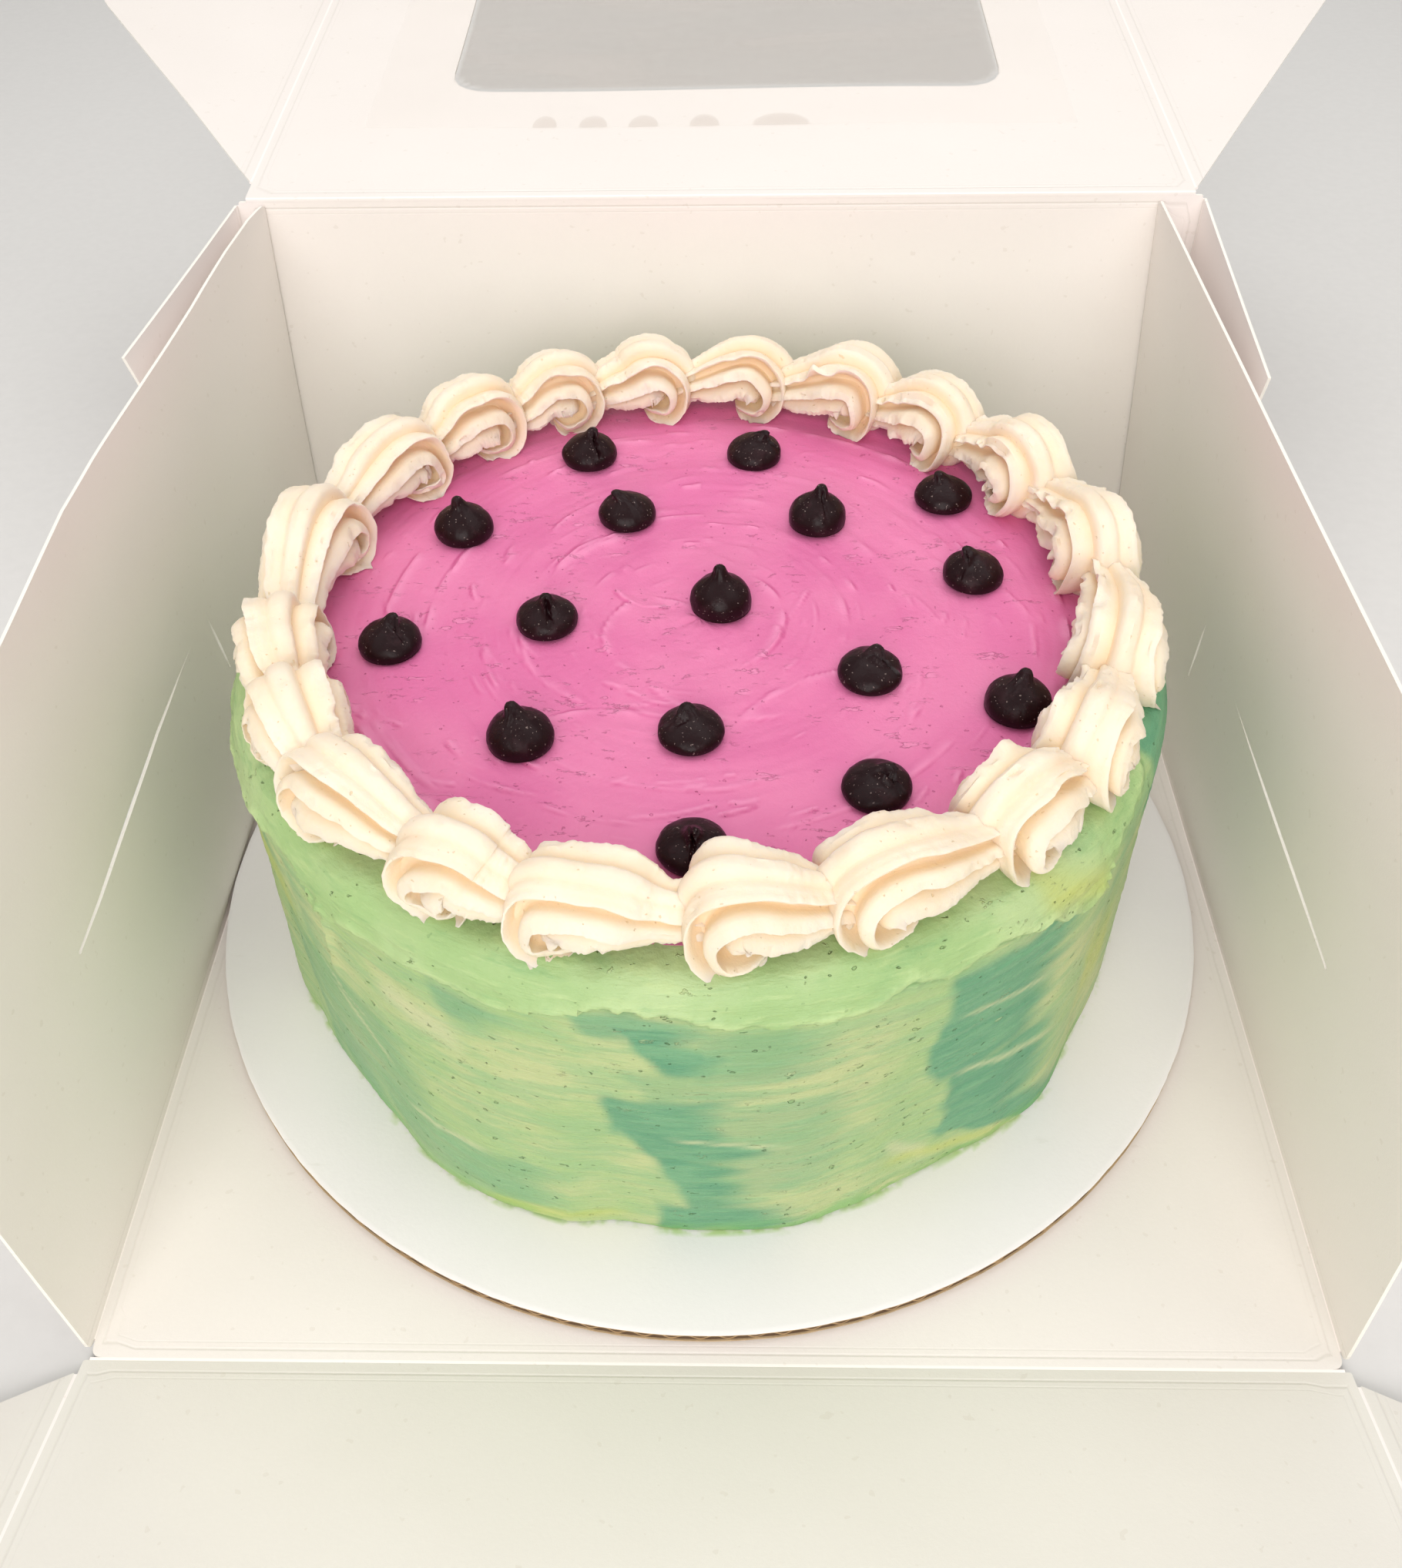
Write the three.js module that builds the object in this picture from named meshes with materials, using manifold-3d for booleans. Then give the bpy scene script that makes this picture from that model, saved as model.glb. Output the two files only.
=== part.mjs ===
// A round iced cake on a cake board, standing in an open square paperboard cake box.
// Millimetres, +Z up, +X to the right and -Y towards the box's open front.
// The origin is the middle of the base panel's underside.

import * as THREE from 'three';
import { mergeVertices } from 'three/addons/utils/BufferGeometryUtils.js';
import Module from 'manifold-3d';

const wasm = await Module();
wasm.setup();

// Paperboard
const CARD = 0.7;               // thickness of the paperboard
const GAP = 0.3;                // clearance between pieces that touch
const CORNER = 2.5;             // small radius at the panels' free corners

// Box, measured inside
const HALF_WIDTH = 129.2;
const HALF_DEPTH = 131;
const WALL_TOP = 127.7;
const WALL_HEIGHT = WALL_TOP - CARD / 2;
const LEFT_LEAN = 0.8;          // degrees that the left wall's top leans in
const RIGHT_LEAN = 5;           // degrees that the right wall's top leans in
const SIDE_WALL_FRONT = -129.2; // y of the side walls' front edges
const SIDE_WALL_BACK = 130.3;
const FRONT_WALL_RISE = 15;     // degrees that the lowered front wall stands up from the table

// Lid, opened backwards
const LID_RISE = 4;             // degrees above the horizontal
const LID_LENGTH = 261.5;       // from the back wall's crease to the tuck flap's crease
const LID_FLAP_X = 128.55;      // crease of the lid's side flaps
const LID_FLAP_REACH = 78;
const TUCK_DEPTH = 40;
const TUCK_HALF_WIDTH = 125;
const WINDOW = { left: -80.5, right: 84.5, near: 63, far: 205, corner: 13 };
const FILM = { left: -102, right: 102.5, near: 39, far: 229, thickness: 0.3 };

// Ears that fold round the box's corners, outside the side walls
const EAR_CLEARANCE = 0.4;      // from an upright side wall
const EAR_X = HALF_WIDTH + 1.5 * CARD + EAR_CLEARANCE;
const EAR = { foot: 3, head: 127, lowReach: 48, lowHeight: 30, topReach: 81.6 };

// Cake board
const BOARD = { radius: 126.3, thickness: 3, x: -2.4, y: -0.1 };

// Cake
const CAKE = { x: -3.4, y: 1.4, footRadius: 105.7, rimRadius: 104.2, rimZ: 80.7, shoulderRadius: 97.3 };
const CAKE_FOOT_Z = CARD + GAP + BOARD.thickness + GAP;
const CAKE_TOP_Z = 89.2;
const PINK = { radius: 88, thickness: 1.7 };

// Piped border: twenty shells laid end over end, anticlockwise seen from above
const SHELL_STARTS = [270, 286.5, 307, 323, 341, 364, 385, 403, 419, 436.5, 453, 469, 484, 500, 522, 547,
  563, 577, 597, 610.5];
const SHELL = { circle: 91.4, halfWidth: 8.9, height: 18.6, nose: 7.5, overlap: 7, ridges: 6, groove: 0.17 };

// Chocolate chips: place from the cake's middle, height, and how far and which way the tip is bent over
const CHIP_RADIUS = 7;
const CHIPS = [
  { x: -29, y: 64, height: 10, bend: 1.2, towards: 20 },
  { x: 13, y: 64, height: 9.5, bend: 2.6, towards: 0 },
  { x: -57, y: 32, height: 11.5, bend: 1, towards: 150 },
  { x: -18, y: 38, height: 9.5, bend: 2.4, towards: 180 },
  { x: 28, y: 36, height: 12, bend: 0.8, towards: 20 },
  { x: 59.3, y: 45, height: 9, bend: 1.6, towards: 150 },
  { x: 63, y: 14, height: 9.5, bend: 2.2, towards: 150 },
  { x: -34, y: -2, height: 8.5, bend: 0.8, towards: 80 },
  { x: 5, y: 4, height: 12.5, bend: 0.6, towards: 120 },
  { x: -68, y: -10, height: 8, bend: 2.4, towards: 20 },
  { x: 37, y: -20, height: 7.5, bend: 2.8, towards: 10 },
  { x: 67, y: -30, height: 11, bend: 1.8, towards: 60 },
  { x: -36, y: -40, height: 11, bend: 2, towards: 130 },
  { x: -1, y: -38, height: 7.5, bend: 2.2, towards: 250 },
  { x: 36, y: -54, height: 7.5, bend: 2.8, towards: 330 },
  { x: 0, y: -70, height: 8.5, bend: 1, towards: 270 },
];

const radians = THREE.MathUtils.degToRad;

const material = (color, roughness) => new THREE.MeshStandardMaterial({ color, roughness, metalness: 0 });
const paperboard = material('#eeebe4', 0.6);
const windowFilm = new THREE.MeshStandardMaterial({
  color: '#dfe3e4', roughness: 0.1, metalness: 0, transparent: true, opacity: 0.35,
});
const boardPaper = material('#f4f4f6', 0.5);
const greenIcing = material('#8fc081', 0.6);
const pinkIcing = material('#d264b0', 0.6);
const creamIcing = material('#f6e6cc', 0.6);
const chocolate = material('#241c20', 0.35);

const cakeBox = new THREE.Group();

function addMesh(parent, name, geometry, meshMaterial) {
  const mesh = new THREE.Mesh(geometry, meshMaterial);
  mesh.name = name;
  parent.add(mesh);
  return mesh;
}

// A panel of card in its own XY plane, with its mid-plane at z = 0.
function panelGeometry(outline, holes = []) {
  outline.holes.push(...holes);
  const geometry = new THREE.ExtrudeGeometry(outline, { depth: CARD, bevelEnabled: false, curveSegments: 5 });
  return geometry.translate(0, 0, -CARD / 2);
}

// A closed outline through the given points, each corner rounded by its own radius.
function roundedOutline(corners, OutlineClass = THREE.Shape) {
  const outline = new OutlineClass();
  corners.forEach(([x, y, radius], i) => {
    const corner = new THREE.Vector2(x, y);
    const before = new THREE.Vector2(...corners.at(i - 1));
    const after = new THREE.Vector2(...corners[(i + 1) % corners.length]);
    const start = corner.clone().addScaledVector(before.sub(corner).normalize(), radius);
    const end = corner.clone().addScaledVector(after.sub(corner).normalize(), radius);
    if (i === 0) outline.moveTo(start.x, start.y);
    else outline.lineTo(start.x, start.y);
    outline.quadraticCurveTo(corner.x, corner.y, end.x, end.y);
  });
  outline.closePath();
  return outline;
}

function roundedRectangle(left, right, near, far, radius, OutlineClass) {
  const corners = [[left, near, radius], [right, near, radius], [right, far, radius], [left, far, radius]];
  return roundedOutline(corners, OutlineClass);
}

// A fold line: its X runs along the crease, its Y away from it in the panel, and its Z out of the
// panel's inner face.
function foldLine(parent, place, along, away) {
  const crease = new THREE.Group();
  crease.position.copy(place);
  const inner = along.clone().cross(away);
  crease.setRotationFromMatrix(new THREE.Matrix4().makeBasis(along, away, inner));
  parent.add(crease);
  return crease;
}

const X = new THREE.Vector3(1, 0, 0);
const Y = new THREE.Vector3(0, 1, 0);
const Z = new THREE.Vector3(0, 0, 1);
const reversed = (axis) => axis.clone().negate();

// A cut in a side wall: a long, slightly gaping slit that ends in a small torn hole.
function slit(from, to, opening, tear) {
  const start = new THREE.Vector2(...from);
  const axis = new THREE.Vector2(...to).sub(start);
  const length = axis.length();
  axis.normalize();
  const side = new THREE.Vector2(-axis.y, axis.x);
  const at = (along, across) => start.clone().addScaledVector(axis, along).addScaledVector(side, across);
  const path = new THREE.Path();
  path.moveTo(...at(0, 0).toArray());
  path.quadraticCurveTo(...at(length / 2, opening).toArray(), ...at(length, tear / 2).toArray());
  path.quadraticCurveTo(...at(length + tear, tear).toArray(), ...at(length + 1.5 * tear, 0).toArray());
  path.quadraticCurveTo(...at(length + tear, -tear).toArray(), ...at(length, -tear / 2).toArray());
  path.quadraticCurveTo(...at(length / 2, -opening).toArray(), ...at(0, 0).toArray());
  return path;
}

function basePanel() {
  const outline = roundedRectangle(GAP - HALF_WIDTH, HALF_WIDTH - GAP, GAP - HALF_DEPTH, HALF_DEPTH - GAP, CORNER);
  addMesh(cakeBox, 'base_panel', panelGeometry(outline), paperboard).position.z = CARD / 2;
}

// The side walls' slits are given as [y, height] of their two ends, the second with the torn hole.
function sideWalls() {
  const walls = [
    { side: 'left', sign: -1, lean: LEFT_LEAN, slits: [[[17.7, 66.6], [-73, 63.4]], [[29.9, 66.4], [33.4, 46.6]]] },
    { side: 'right', sign: 1, lean: RIGHT_LEAN, slits: [[[4.9, 61.7], [-72, 58.8]], [[31.9, 62.7], [37.6, 39.7]]] },
  ];
  for (const { side, sign, lean, slits } of walls) {
    const away = Z.clone().applyAxisAngle(Y, -sign * radians(lean));
    const place = new THREE.Vector3(sign * (HALF_WIDTH + CARD / 2), 0, CARD / 2);
    const crease = foldLine(cakeBox, place, sign < 0 ? Y : reversed(Y), away);
    const alongWall = (y) => -sign * y;
    const ends = [alongWall(SIDE_WALL_FRONT), alongWall(SIDE_WALL_BACK)].sort((a, b) => a - b);
    const outline = roundedRectangle(...ends, 0, WALL_HEIGHT, CORNER);
    const holes = slits.map(([from, to], i) => {
      const [start, end] = [from, to].map(([y, height]) => [alongWall(y), height]);
      return slit(start, end, i === 0 ? 1.3 : 0.9, i === 0 ? 0.9 : 0.5);
    });
    addMesh(crease, `side_wall_${side}`, panelGeometry(outline, holes), paperboard);
  }
}

function backWall() {
  const crease = foldLine(cakeBox, new THREE.Vector3(0, HALF_DEPTH + CARD / 2, CARD / 2), X, Z);
  const halfWidth = EAR_X - CARD / 2 - GAP;
  addMesh(crease, 'back_wall', panelGeometry(roundedRectangle(-halfWidth, halfWidth, CARD, WALL_HEIGHT, 0.5)), paperboard);
}

// A back ear springs from the back wall's upright edge and runs forwards outside the side wall. It is a
// thin ruled sheet: flare is the slope outwards at its top and foot, so an ear can be slightly twisted.
function backEar(name, sign, flare, reach, tipDrop) {
  const acrossSteps = 6;
  const upSteps = 4;
  const sheet = new THREE.BoxGeometry(CARD, 1, 1, 1, acrossSteps, upSteps);
  const point = new THREE.Vector3();
  const positions = sheet.attributes.position;
  for (let i = 0; i < positions.count; i++) {
    point.fromBufferAttribute(positions, i);
    const across = 0.5 - point.y;
    const up = point.z + 0.5;
    const lowReach = EAR.lowReach * reach / EAR.topReach;
    const out = THREE.MathUtils.lerp(CARD, THREE.MathUtils.lerp(lowReach, reach, up), across);
    const creaseZ = THREE.MathUtils.lerp(EAR.foot, EAR.head, up);
    const edgeZ = THREE.MathUtils.lerp(EAR.lowHeight, EAR.head - tipDrop, up);
    const slope = THREE.MathUtils.lerp(flare.foot, flare.top, up);
    const x = sign * (EAR_X + out * Math.tan(radians(slope))) + point.x;
    positions.setXYZ(i, x, HALF_DEPTH + CARD / 2 - out, THREE.MathUtils.lerp(creaseZ, edgeZ, across));
  }
  addMesh(cakeBox, name, sheet, paperboard);
}

function frontWall() {
  const away = reversed(Y).applyAxisAngle(X, -radians(FRONT_WALL_RISE));
  const place = new THREE.Vector3(0, -HALF_DEPTH - CARD / 2, CARD / 2);
  const crease = foldLine(cakeBox, place, reversed(X), away);
  const halfWidth = EAR_X - CARD / 2 - GAP;
  const outline = roundedRectangle(-halfWidth, halfWidth, 0, WALL_HEIGHT - CARD / 2, 0.5);
  addMesh(crease, 'front_wall', panelGeometry(outline), paperboard);
  for (const [side, sign] of [['left', 1], ['right', -1]]) {
    const ear = roundedOutline([
      [sign * EAR_X, EAR.foot, 0.5],
      [sign * (EAR_X + EAR.lowReach), EAR.lowHeight, 6],
      [sign * (EAR_X + EAR.topReach), WALL_HEIGHT - CARD, 4],
      [sign * EAR_X, WALL_HEIGHT - CARD, 0.5],
    ]);
    addMesh(crease, `front_ear_${side}`, panelGeometry(ear), paperboard);
  }
}

// The side flaps' inner edges start a little way from the hinge and slant outwards.
function lid() {
  const away = Y.clone().applyAxisAngle(X, radians(LID_RISE));
  const crease = foldLine(cakeBox, new THREE.Vector3(0, HALF_DEPTH + CARD / 2, WALL_TOP + CARD), X, away);
  const edge = LID_FLAP_X - CARD / 2 - GAP;
  const { left, right, near, far, corner } = WINDOW;
  const opening = roundedRectangle(left, right, near, far, corner, THREE.Path);
  const top = roundedRectangle(-edge, edge, 0, LID_LENGTH - CARD / 2 - GAP, 0.5);
  addMesh(crease, 'lid_panel', panelGeometry(top, [opening]), paperboard);

  const film = new THREE.BoxGeometry(FILM.right - FILM.left, FILM.far - FILM.near, FILM.thickness);
  const filmZ = CARD / 2 + GAP + FILM.thickness / 2;
  film.translate((FILM.left + FILM.right) / 2, (FILM.near + FILM.far) / 2, filmZ);
  addMesh(crease, 'window_film', film, windowFilm);

  const flaps = [{ side: 'left', sign: -1, start: 9, slope: 1.6 }, { side: 'right', sign: 1, start: 2, slope: 1.8 }];
  for (const { side, sign, start, slope } of flaps) {
    const flap = roundedOutline([
      [sign * LID_FLAP_X, start, 0.5],
      [sign * (LID_FLAP_X + LID_FLAP_REACH), start + slope * LID_FLAP_REACH, 10],
      [sign * (LID_FLAP_X + LID_FLAP_REACH), LID_LENGTH - 60, 14],
      [sign * LID_FLAP_X, LID_LENGTH - 5, 0.5],
    ]);
    addMesh(crease, `lid_flap_${side}`, panelGeometry(flap), paperboard);
  }

  const tuck = roundedOutline([
    [-TUCK_HALF_WIDTH, LID_LENGTH, 0.5],
    [TUCK_HALF_WIDTH, LID_LENGTH, 0.5],
    [TUCK_HALF_WIDTH - 8, LID_LENGTH + TUCK_DEPTH, 12],
    [8 - TUCK_HALF_WIDTH, LID_LENGTH + TUCK_DEPTH, 12],
  ]);
  addMesh(crease, 'lid_tuck_flap', panelGeometry(tuck), paperboard);
}

// A solid of revolution about an upright axis, from [radius, z] points that start and end on it.
// reshape(angle, z) scales each radius, which makes it uneven.
function revolve(profile, segments, reshape = () => 1) {
  const geometry = new THREE.LatheGeometry(profile.map(([r, z]) => new THREE.Vector2(r, z)), segments);
  geometry.rotateX(Math.PI / 2);
  const positions = geometry.attributes.position;
  for (let i = 0; i < positions.count; i++) {
    const [x, y, z] = [positions.getX(i), positions.getY(i), positions.getZ(i)];
    const scale = reshape(Math.atan2(y, x), z);
    positions.setXYZ(i, x * scale, y * scale, z);
  }
  return geometry;
}

function cakeBoard() {
  const bottom = CARD + GAP;
  const { radius, thickness, x, y } = BOARD;
  const profile = [[0, bottom], [radius, bottom], [radius, bottom + thickness], [0, bottom + thickness]];
  addMesh(cakeBox, 'cake_board', revolve(profile, 72), boardPaper).position.set(x, y, 0);
}

// The iced cake is a drum whose side waves gently near its foot, with a rounded shoulder. Its top has a
// shallow recess for the pink icing.
function cake() {
  const recessRadius = PINK.radius + GAP;
  const recessZ = CAKE_TOP_Z - PINK.thickness - GAP;
  const profile = [[0, CAKE_FOOT_Z], [CAKE.footRadius - 1, CAKE_FOOT_Z]];
  const sideSteps = 4;
  for (let i = 0; i <= sideSteps; i++) {
    const share = i / sideSteps;
    const radius = THREE.MathUtils.lerp(CAKE.footRadius, CAKE.rimRadius, share);
    profile.push([radius, THREE.MathUtils.lerp(CAKE_FOOT_Z + 1, CAKE.rimZ, share)]);
  }
  const shoulderSteps = 4;
  for (let i = 1; i <= shoulderSteps; i++) {
    const turn = (i / shoulderSteps) * Math.PI / 2;
    const radius = CAKE.shoulderRadius + (CAKE.rimRadius - CAKE.shoulderRadius) * Math.cos(turn);
    profile.push([radius, CAKE.rimZ + (CAKE_TOP_Z - CAKE.rimZ) * Math.sin(turn)]);
  }
  profile.push([recessRadius, CAKE_TOP_Z], [recessRadius, recessZ], [0, recessZ]);
  const waves = (angle, z) => {
    const low = 1 - THREE.MathUtils.smoothstep(z, CAKE_FOOT_Z, CAKE_TOP_Z);
    return 1 + low * (0.013 * Math.cos(9 * angle + 1.1) + 0.007 * Math.cos(4 * angle - 0.6));
  };
  addMesh(cakeBox, 'cake', revolve(profile, 96, waves), greenIcing).position.set(CAKE.x, CAKE.y, 0);

  const pinkBottom = CAKE_TOP_Z - PINK.thickness;
  const disc = [[0, pinkBottom], [PINK.radius, pinkBottom], [PINK.radius, CAKE_TOP_Z], [0, CAKE_TOP_Z]];
  addMesh(cakeBox, 'pink_icing', revolve(disc, 72), pinkIcing).position.set(CAKE.x, CAKE.y, 0);
}

// A closed geometry from rings of points, each ring running the same way round.
function skinRings(rings) {
  const count = rings[0].length;
  const positions = rings.flat().flatMap((point) => point.toArray());
  const indices = [];
  for (let ring = 0; ring < rings.length - 1; ring++) {
    for (let i = 0; i < count; i++) {
      const next = (i + 1) % count;
      const [a, b] = [ring * count + i, ring * count + next];
      indices.push(a, a + count, b, b, a + count, b + count);
    }
  }
  const last = (rings.length - 1) * count;
  for (let i = 1; i < count - 1; i++) {
    indices.push(0, i, i + 1, last, last + i + 1, last + i);
  }
  const geometry = new THREE.BufferGeometry();
  geometry.setAttribute('position', new THREE.Float32BufferAttribute(positions, 3));
  geometry.setIndex(indices);
  return geometry;
}

// One piped shell: a round fluted nose that narrows and sinks towards its tail. Its path follows the
// border's circle; each section across it is a fluted arch on a flat foot.
function shellGeometry(startDegrees, length) {
  const stations = 11;
  const archPoints = 2 * SHELL.ridges + 1;
  const rings = [];
  for (let station = 0; station < stations; station++) {
    const share = station / (stations - 1);
    const along = share ** 1.35 * length;
    const rise = Math.min(along / SHELL.nose, 1);
    const swell = 0.3 + 0.7 * Math.sqrt(1 - (1 - rise) ** 2);
    const taper = 1 - 0.5 * THREE.MathUtils.smoothstep(along, SHELL.nose, length);
    const size = swell * taper;
    const angle = radians(startDegrees) + (along - SHELL.nose / 2) / SHELL.circle;
    const ring = [];
    for (let i = 0; i < archPoints; i++) {
      const turn = (i / (archPoints - 1)) * Math.PI;
      const depth = i % 2 ? 1 - SHELL.groove : 1;
      const out = SHELL.halfWidth * size * depth * Math.cos(turn);
      const up = SHELL.height * size * depth * Math.sin(turn) ** 0.8;
      const radius = SHELL.circle + out;
      ring.push(new THREE.Vector3(radius * Math.cos(angle), radius * Math.sin(angle), up));
    }
    rings.push(ring);
  }
  return skinRings(rings);
}

function toSolid(geometry) {
  const bare = geometry.clone();
  bare.deleteAttribute('normal');
  bare.deleteAttribute('uv');
  const merged = mergeVertices(bare, 1e-4);
  const vertProperties = new Float32Array(merged.attributes.position.array);
  const triVerts = new Uint32Array(merged.index.array);
  return new wasm.Manifold(new wasm.Mesh({ numProp: 3, vertProperties, triVerts }));
}

function fromSolid(solid) {
  const { vertProperties, triVerts } = solid.getMesh();
  const geometry = new THREE.BufferGeometry();
  geometry.setAttribute('position', new THREE.Float32BufferAttribute(vertProperties, 3));
  geometry.setIndex(new THREE.Uint32BufferAttribute(triVerts, 1));
  return geometry;
}

function pipedBorder() {
  let border = null;
  SHELL_STARTS.forEach((start, i) => {
    const next = i + 1 < SHELL_STARTS.length ? SHELL_STARTS[i + 1] : SHELL_STARTS[0] + 360;
    const length = radians(next - start) * SHELL.circle + SHELL.overlap;
    const shell = toSolid(shellGeometry(start, length));
    border = border ? border.add(shell) : shell;
  });
  addMesh(cakeBox, 'piped_border', fromSolid(border), creamIcing).position.set(CAKE.x, CAKE.y, CAKE_TOP_Z + GAP);
}

// A chip is a round-bellied drop. Its tip is bent over sideways, more the higher up it is.
function chips() {
  const profile = [[0, 0], [0.94, 0], [1, 0.13], [0.84, 0.36], [0.5, 0.58], [0.21, 0.8], [0, 1]];
  CHIPS.forEach(({ x, y, height, bend, towards }, i) => {
    const drop = revolve(profile.map(([r, z]) => [r * CHIP_RADIUS, z * height]), 11);
    const positions = drop.attributes.position;
    for (let k = 0; k < positions.count; k++) {
      const shift = bend * Math.max(positions.getZ(k) / height, 0) ** 2.5;
      positions.setX(k, positions.getX(k) + shift * Math.cos(radians(towards)));
      positions.setY(k, positions.getY(k) + shift * Math.sin(radians(towards)));
    }
    const mesh = addMesh(cakeBox, `chip_${String(i + 1).padStart(2, '0')}`, drop, chocolate);
    mesh.position.set(CAKE.x + x, CAKE.y + y, CAKE_TOP_Z + GAP);
  });
}

basePanel();
sideWalls();
backWall();
backEar('back_ear_left', -1, { top: 4.5, foot: 4.5 }, EAR.topReach, 0);
backEar('back_ear_right', 1, { top: -3.3, foot: 0 }, 88, 3);
frontWall();
lid();
cakeBoard();
cake();
pipedBorder();
chips();

export default cakeBox;
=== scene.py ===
import math
import random
from math import cos, exp, hypot, pi, radians, sin, sqrt

import bmesh
import bpy
import numpy as np
from mathutils import Matrix, Vector, noise


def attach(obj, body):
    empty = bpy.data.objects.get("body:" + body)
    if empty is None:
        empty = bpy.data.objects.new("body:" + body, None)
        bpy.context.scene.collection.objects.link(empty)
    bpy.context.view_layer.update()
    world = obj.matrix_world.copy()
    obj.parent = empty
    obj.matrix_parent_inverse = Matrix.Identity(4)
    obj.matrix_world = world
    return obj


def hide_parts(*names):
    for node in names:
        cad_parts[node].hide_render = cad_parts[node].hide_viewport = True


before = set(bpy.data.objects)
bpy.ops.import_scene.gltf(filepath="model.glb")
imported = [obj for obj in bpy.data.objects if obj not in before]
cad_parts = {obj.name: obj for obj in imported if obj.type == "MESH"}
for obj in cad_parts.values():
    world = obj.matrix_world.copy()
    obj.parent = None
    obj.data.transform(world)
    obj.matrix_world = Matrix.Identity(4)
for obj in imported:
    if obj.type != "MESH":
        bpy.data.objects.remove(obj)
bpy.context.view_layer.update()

# Paperboard carton
# A cake box of thin white paperboard, glued from one blank that was printed with nothing, die cut and
# scored. Each panel stays almost flat; the scored folds show as fine lines and the cut edges as paler rims.
MM = 0.001
CARD = 0.7 * MM
X_AXIS, Y_AXIS, Z_AXIS = Vector((1, 0, 0)), Vector((0, 1, 0)), Vector((0, 0, 1))


def srgb(red, green, blue):
    """A colour for a shader socket from its usual 0 to 255 numbers."""
    shares = [tone / 255 for tone in (red, green, blue)]
    return (*[((share + 0.055) / 1.055) ** 2.4 if share > 0.04 else share / 12.92 for share in shares], 1.0)


class Wire:
    """A shader node's output that takes part in sums like a number."""

    def __init__(self, tree, socket=None):
        self.tree = tree
        self.socket = socket

    def node(self, kind, settings=None, sockets=None, output=0):
        made = self.tree.nodes.new("ShaderNode" + kind)
        for name, value in (settings or {}).items():
            setattr(made, name, value)
        for name, value in (sockets or {}).items():
            if isinstance(value, Wire):
                self.tree.links.new(value.socket, made.inputs[name])
            else:
                made.inputs[name].default_value = value
        return Wire(self.tree, made.outputs[output]) if len(made.outputs) else None

    def maths(self, operation, first, second=0.0):
        return self.node("Math", {"operation": operation}, {0: first, 1: second})

    def mark(self, name):
        """Numbers that the mesh keeps at its points."""
        return self.node("Attribute", {"attribute_name": name}, output=2)

    def part(self, axis):
        return self.node("SeparateXYZ", {}, {0: self}, output=axis)

    def __add__(self, other):
        return self.maths("ADD", self, other)

    def __radd__(self, other):
        return self.maths("ADD", other, self)

    def __sub__(self, other):
        return self.maths("SUBTRACT", self, other)

    def __rsub__(self, other):
        return self.maths("SUBTRACT", other, self)

    def __mul__(self, other):
        return self.maths("MULTIPLY", self, other)

    def __rmul__(self, other):
        return self.maths("MULTIPLY", other, self)

    def __truediv__(self, other):
        return self.maths("DIVIDE", self, other)

    def __abs__(self):
        return self.maths("ABSOLUTE", self)


def between(value, low, high):
    """0 where the value is at low, 1 at high, with a soft step from one to the other."""
    limits = {"Value": value, "From Min": low, "From Max": high}
    return value.node("MapRange", {"interpolation_type": "SMOOTHSTEP"}, limits)


def mixed(share, first, second):
    """Two colours mixed by a share. Each is a wire, or its usual 0 to 255 numbers."""
    first, second = (tone if isinstance(tone, Wire) else srgb(*tone) for tone in (first, second))
    return share.node("Mix", {"data_type": "RGBA"}, {0: share, 6: first, 7: second}, output=2)


def start_finish(name):
    """A new material's wire of places on the piece, in metres."""
    material = bpy.data.materials.new(name)
    material.use_nodes = True
    material.node_tree.nodes.clear()
    place = Wire(material.node_tree).node("TexCoord", output=3)
    place.material = material
    return place


def speckle(place, size, detail=2.0, roughness=0.5, stretch=(1, 1, 1)):
    """Soft random grain of about the given size in metres, longer where stretch is above 1."""
    scaled = place.node("Mapping", {}, {"Vector": place, "Scale": [1 / (size * s) for s in stretch]})
    sockets = {"Vector": scaled, "Scale": 1.0, "Detail": detail, "Roughness": roughness}
    return place.node("TexNoise", {}, sockets)


def sunk_light(weight, radius, scale):
    """How light sinks into icing and comes out again nearby."""
    return {"Subsurface Weight": weight, "Subsurface Radius": radius, "Subsurface Scale": scale}


def end_finish(place, colour, roughness, specular, relief, depth, more=None):
    """Joins the colours and a height map, whose depth is in metres, to the shader. Gives the material."""
    bump = place.node("Bump", {}, {"Height": relief, "Distance": depth, "Strength": 1.0})
    sockets = {"Base Color": colour, "Roughness": roughness, "Specular IOR Level": specular, **(more or {})}
    shader = place.node("BsdfPrincipled", {}, {**sockets, "Normal": bump})
    place.node("OutputMaterial", {}, {"Surface": shader})
    return place.material


def paperboard_finish(name, white, shade, roughness):
    place = start_finish(name)
    crease = place.mark("from_crease")
    fibres = speckle(place, 0.0009, 4.0, 0.65)
    cloudy = speckle(place, 0.035, 2.0, 0.5)
    flecks = between(speckle(place, 0.0022, 1.0), 0.735, 0.76)
    score = 1 - between(abs(crease - 0.0026), 0.0, 0.00045)
    second_score = 1 - between(abs(crease - 0.0041), 0.0, 0.0003)
    lines = score * 0.75 + second_score * 0.25
    sheet = mixed(cloudy * 0.5 + fibres * 0.35, white, shade)
    sheet = mixed(flecks * 0.10, sheet, (170, 150, 120))
    # Painted shade: the score lines are darkened, as shade in their grooves.
    sheet = mixed(lines * 0.16, sheet, (190, 182, 168))
    relief = fibres * 0.25 + cloudy * 2.2 - lines * 0.7
    return end_finish(place, sheet, roughness + fibres * 0.12, 0.4, relief, 0.00016)


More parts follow.
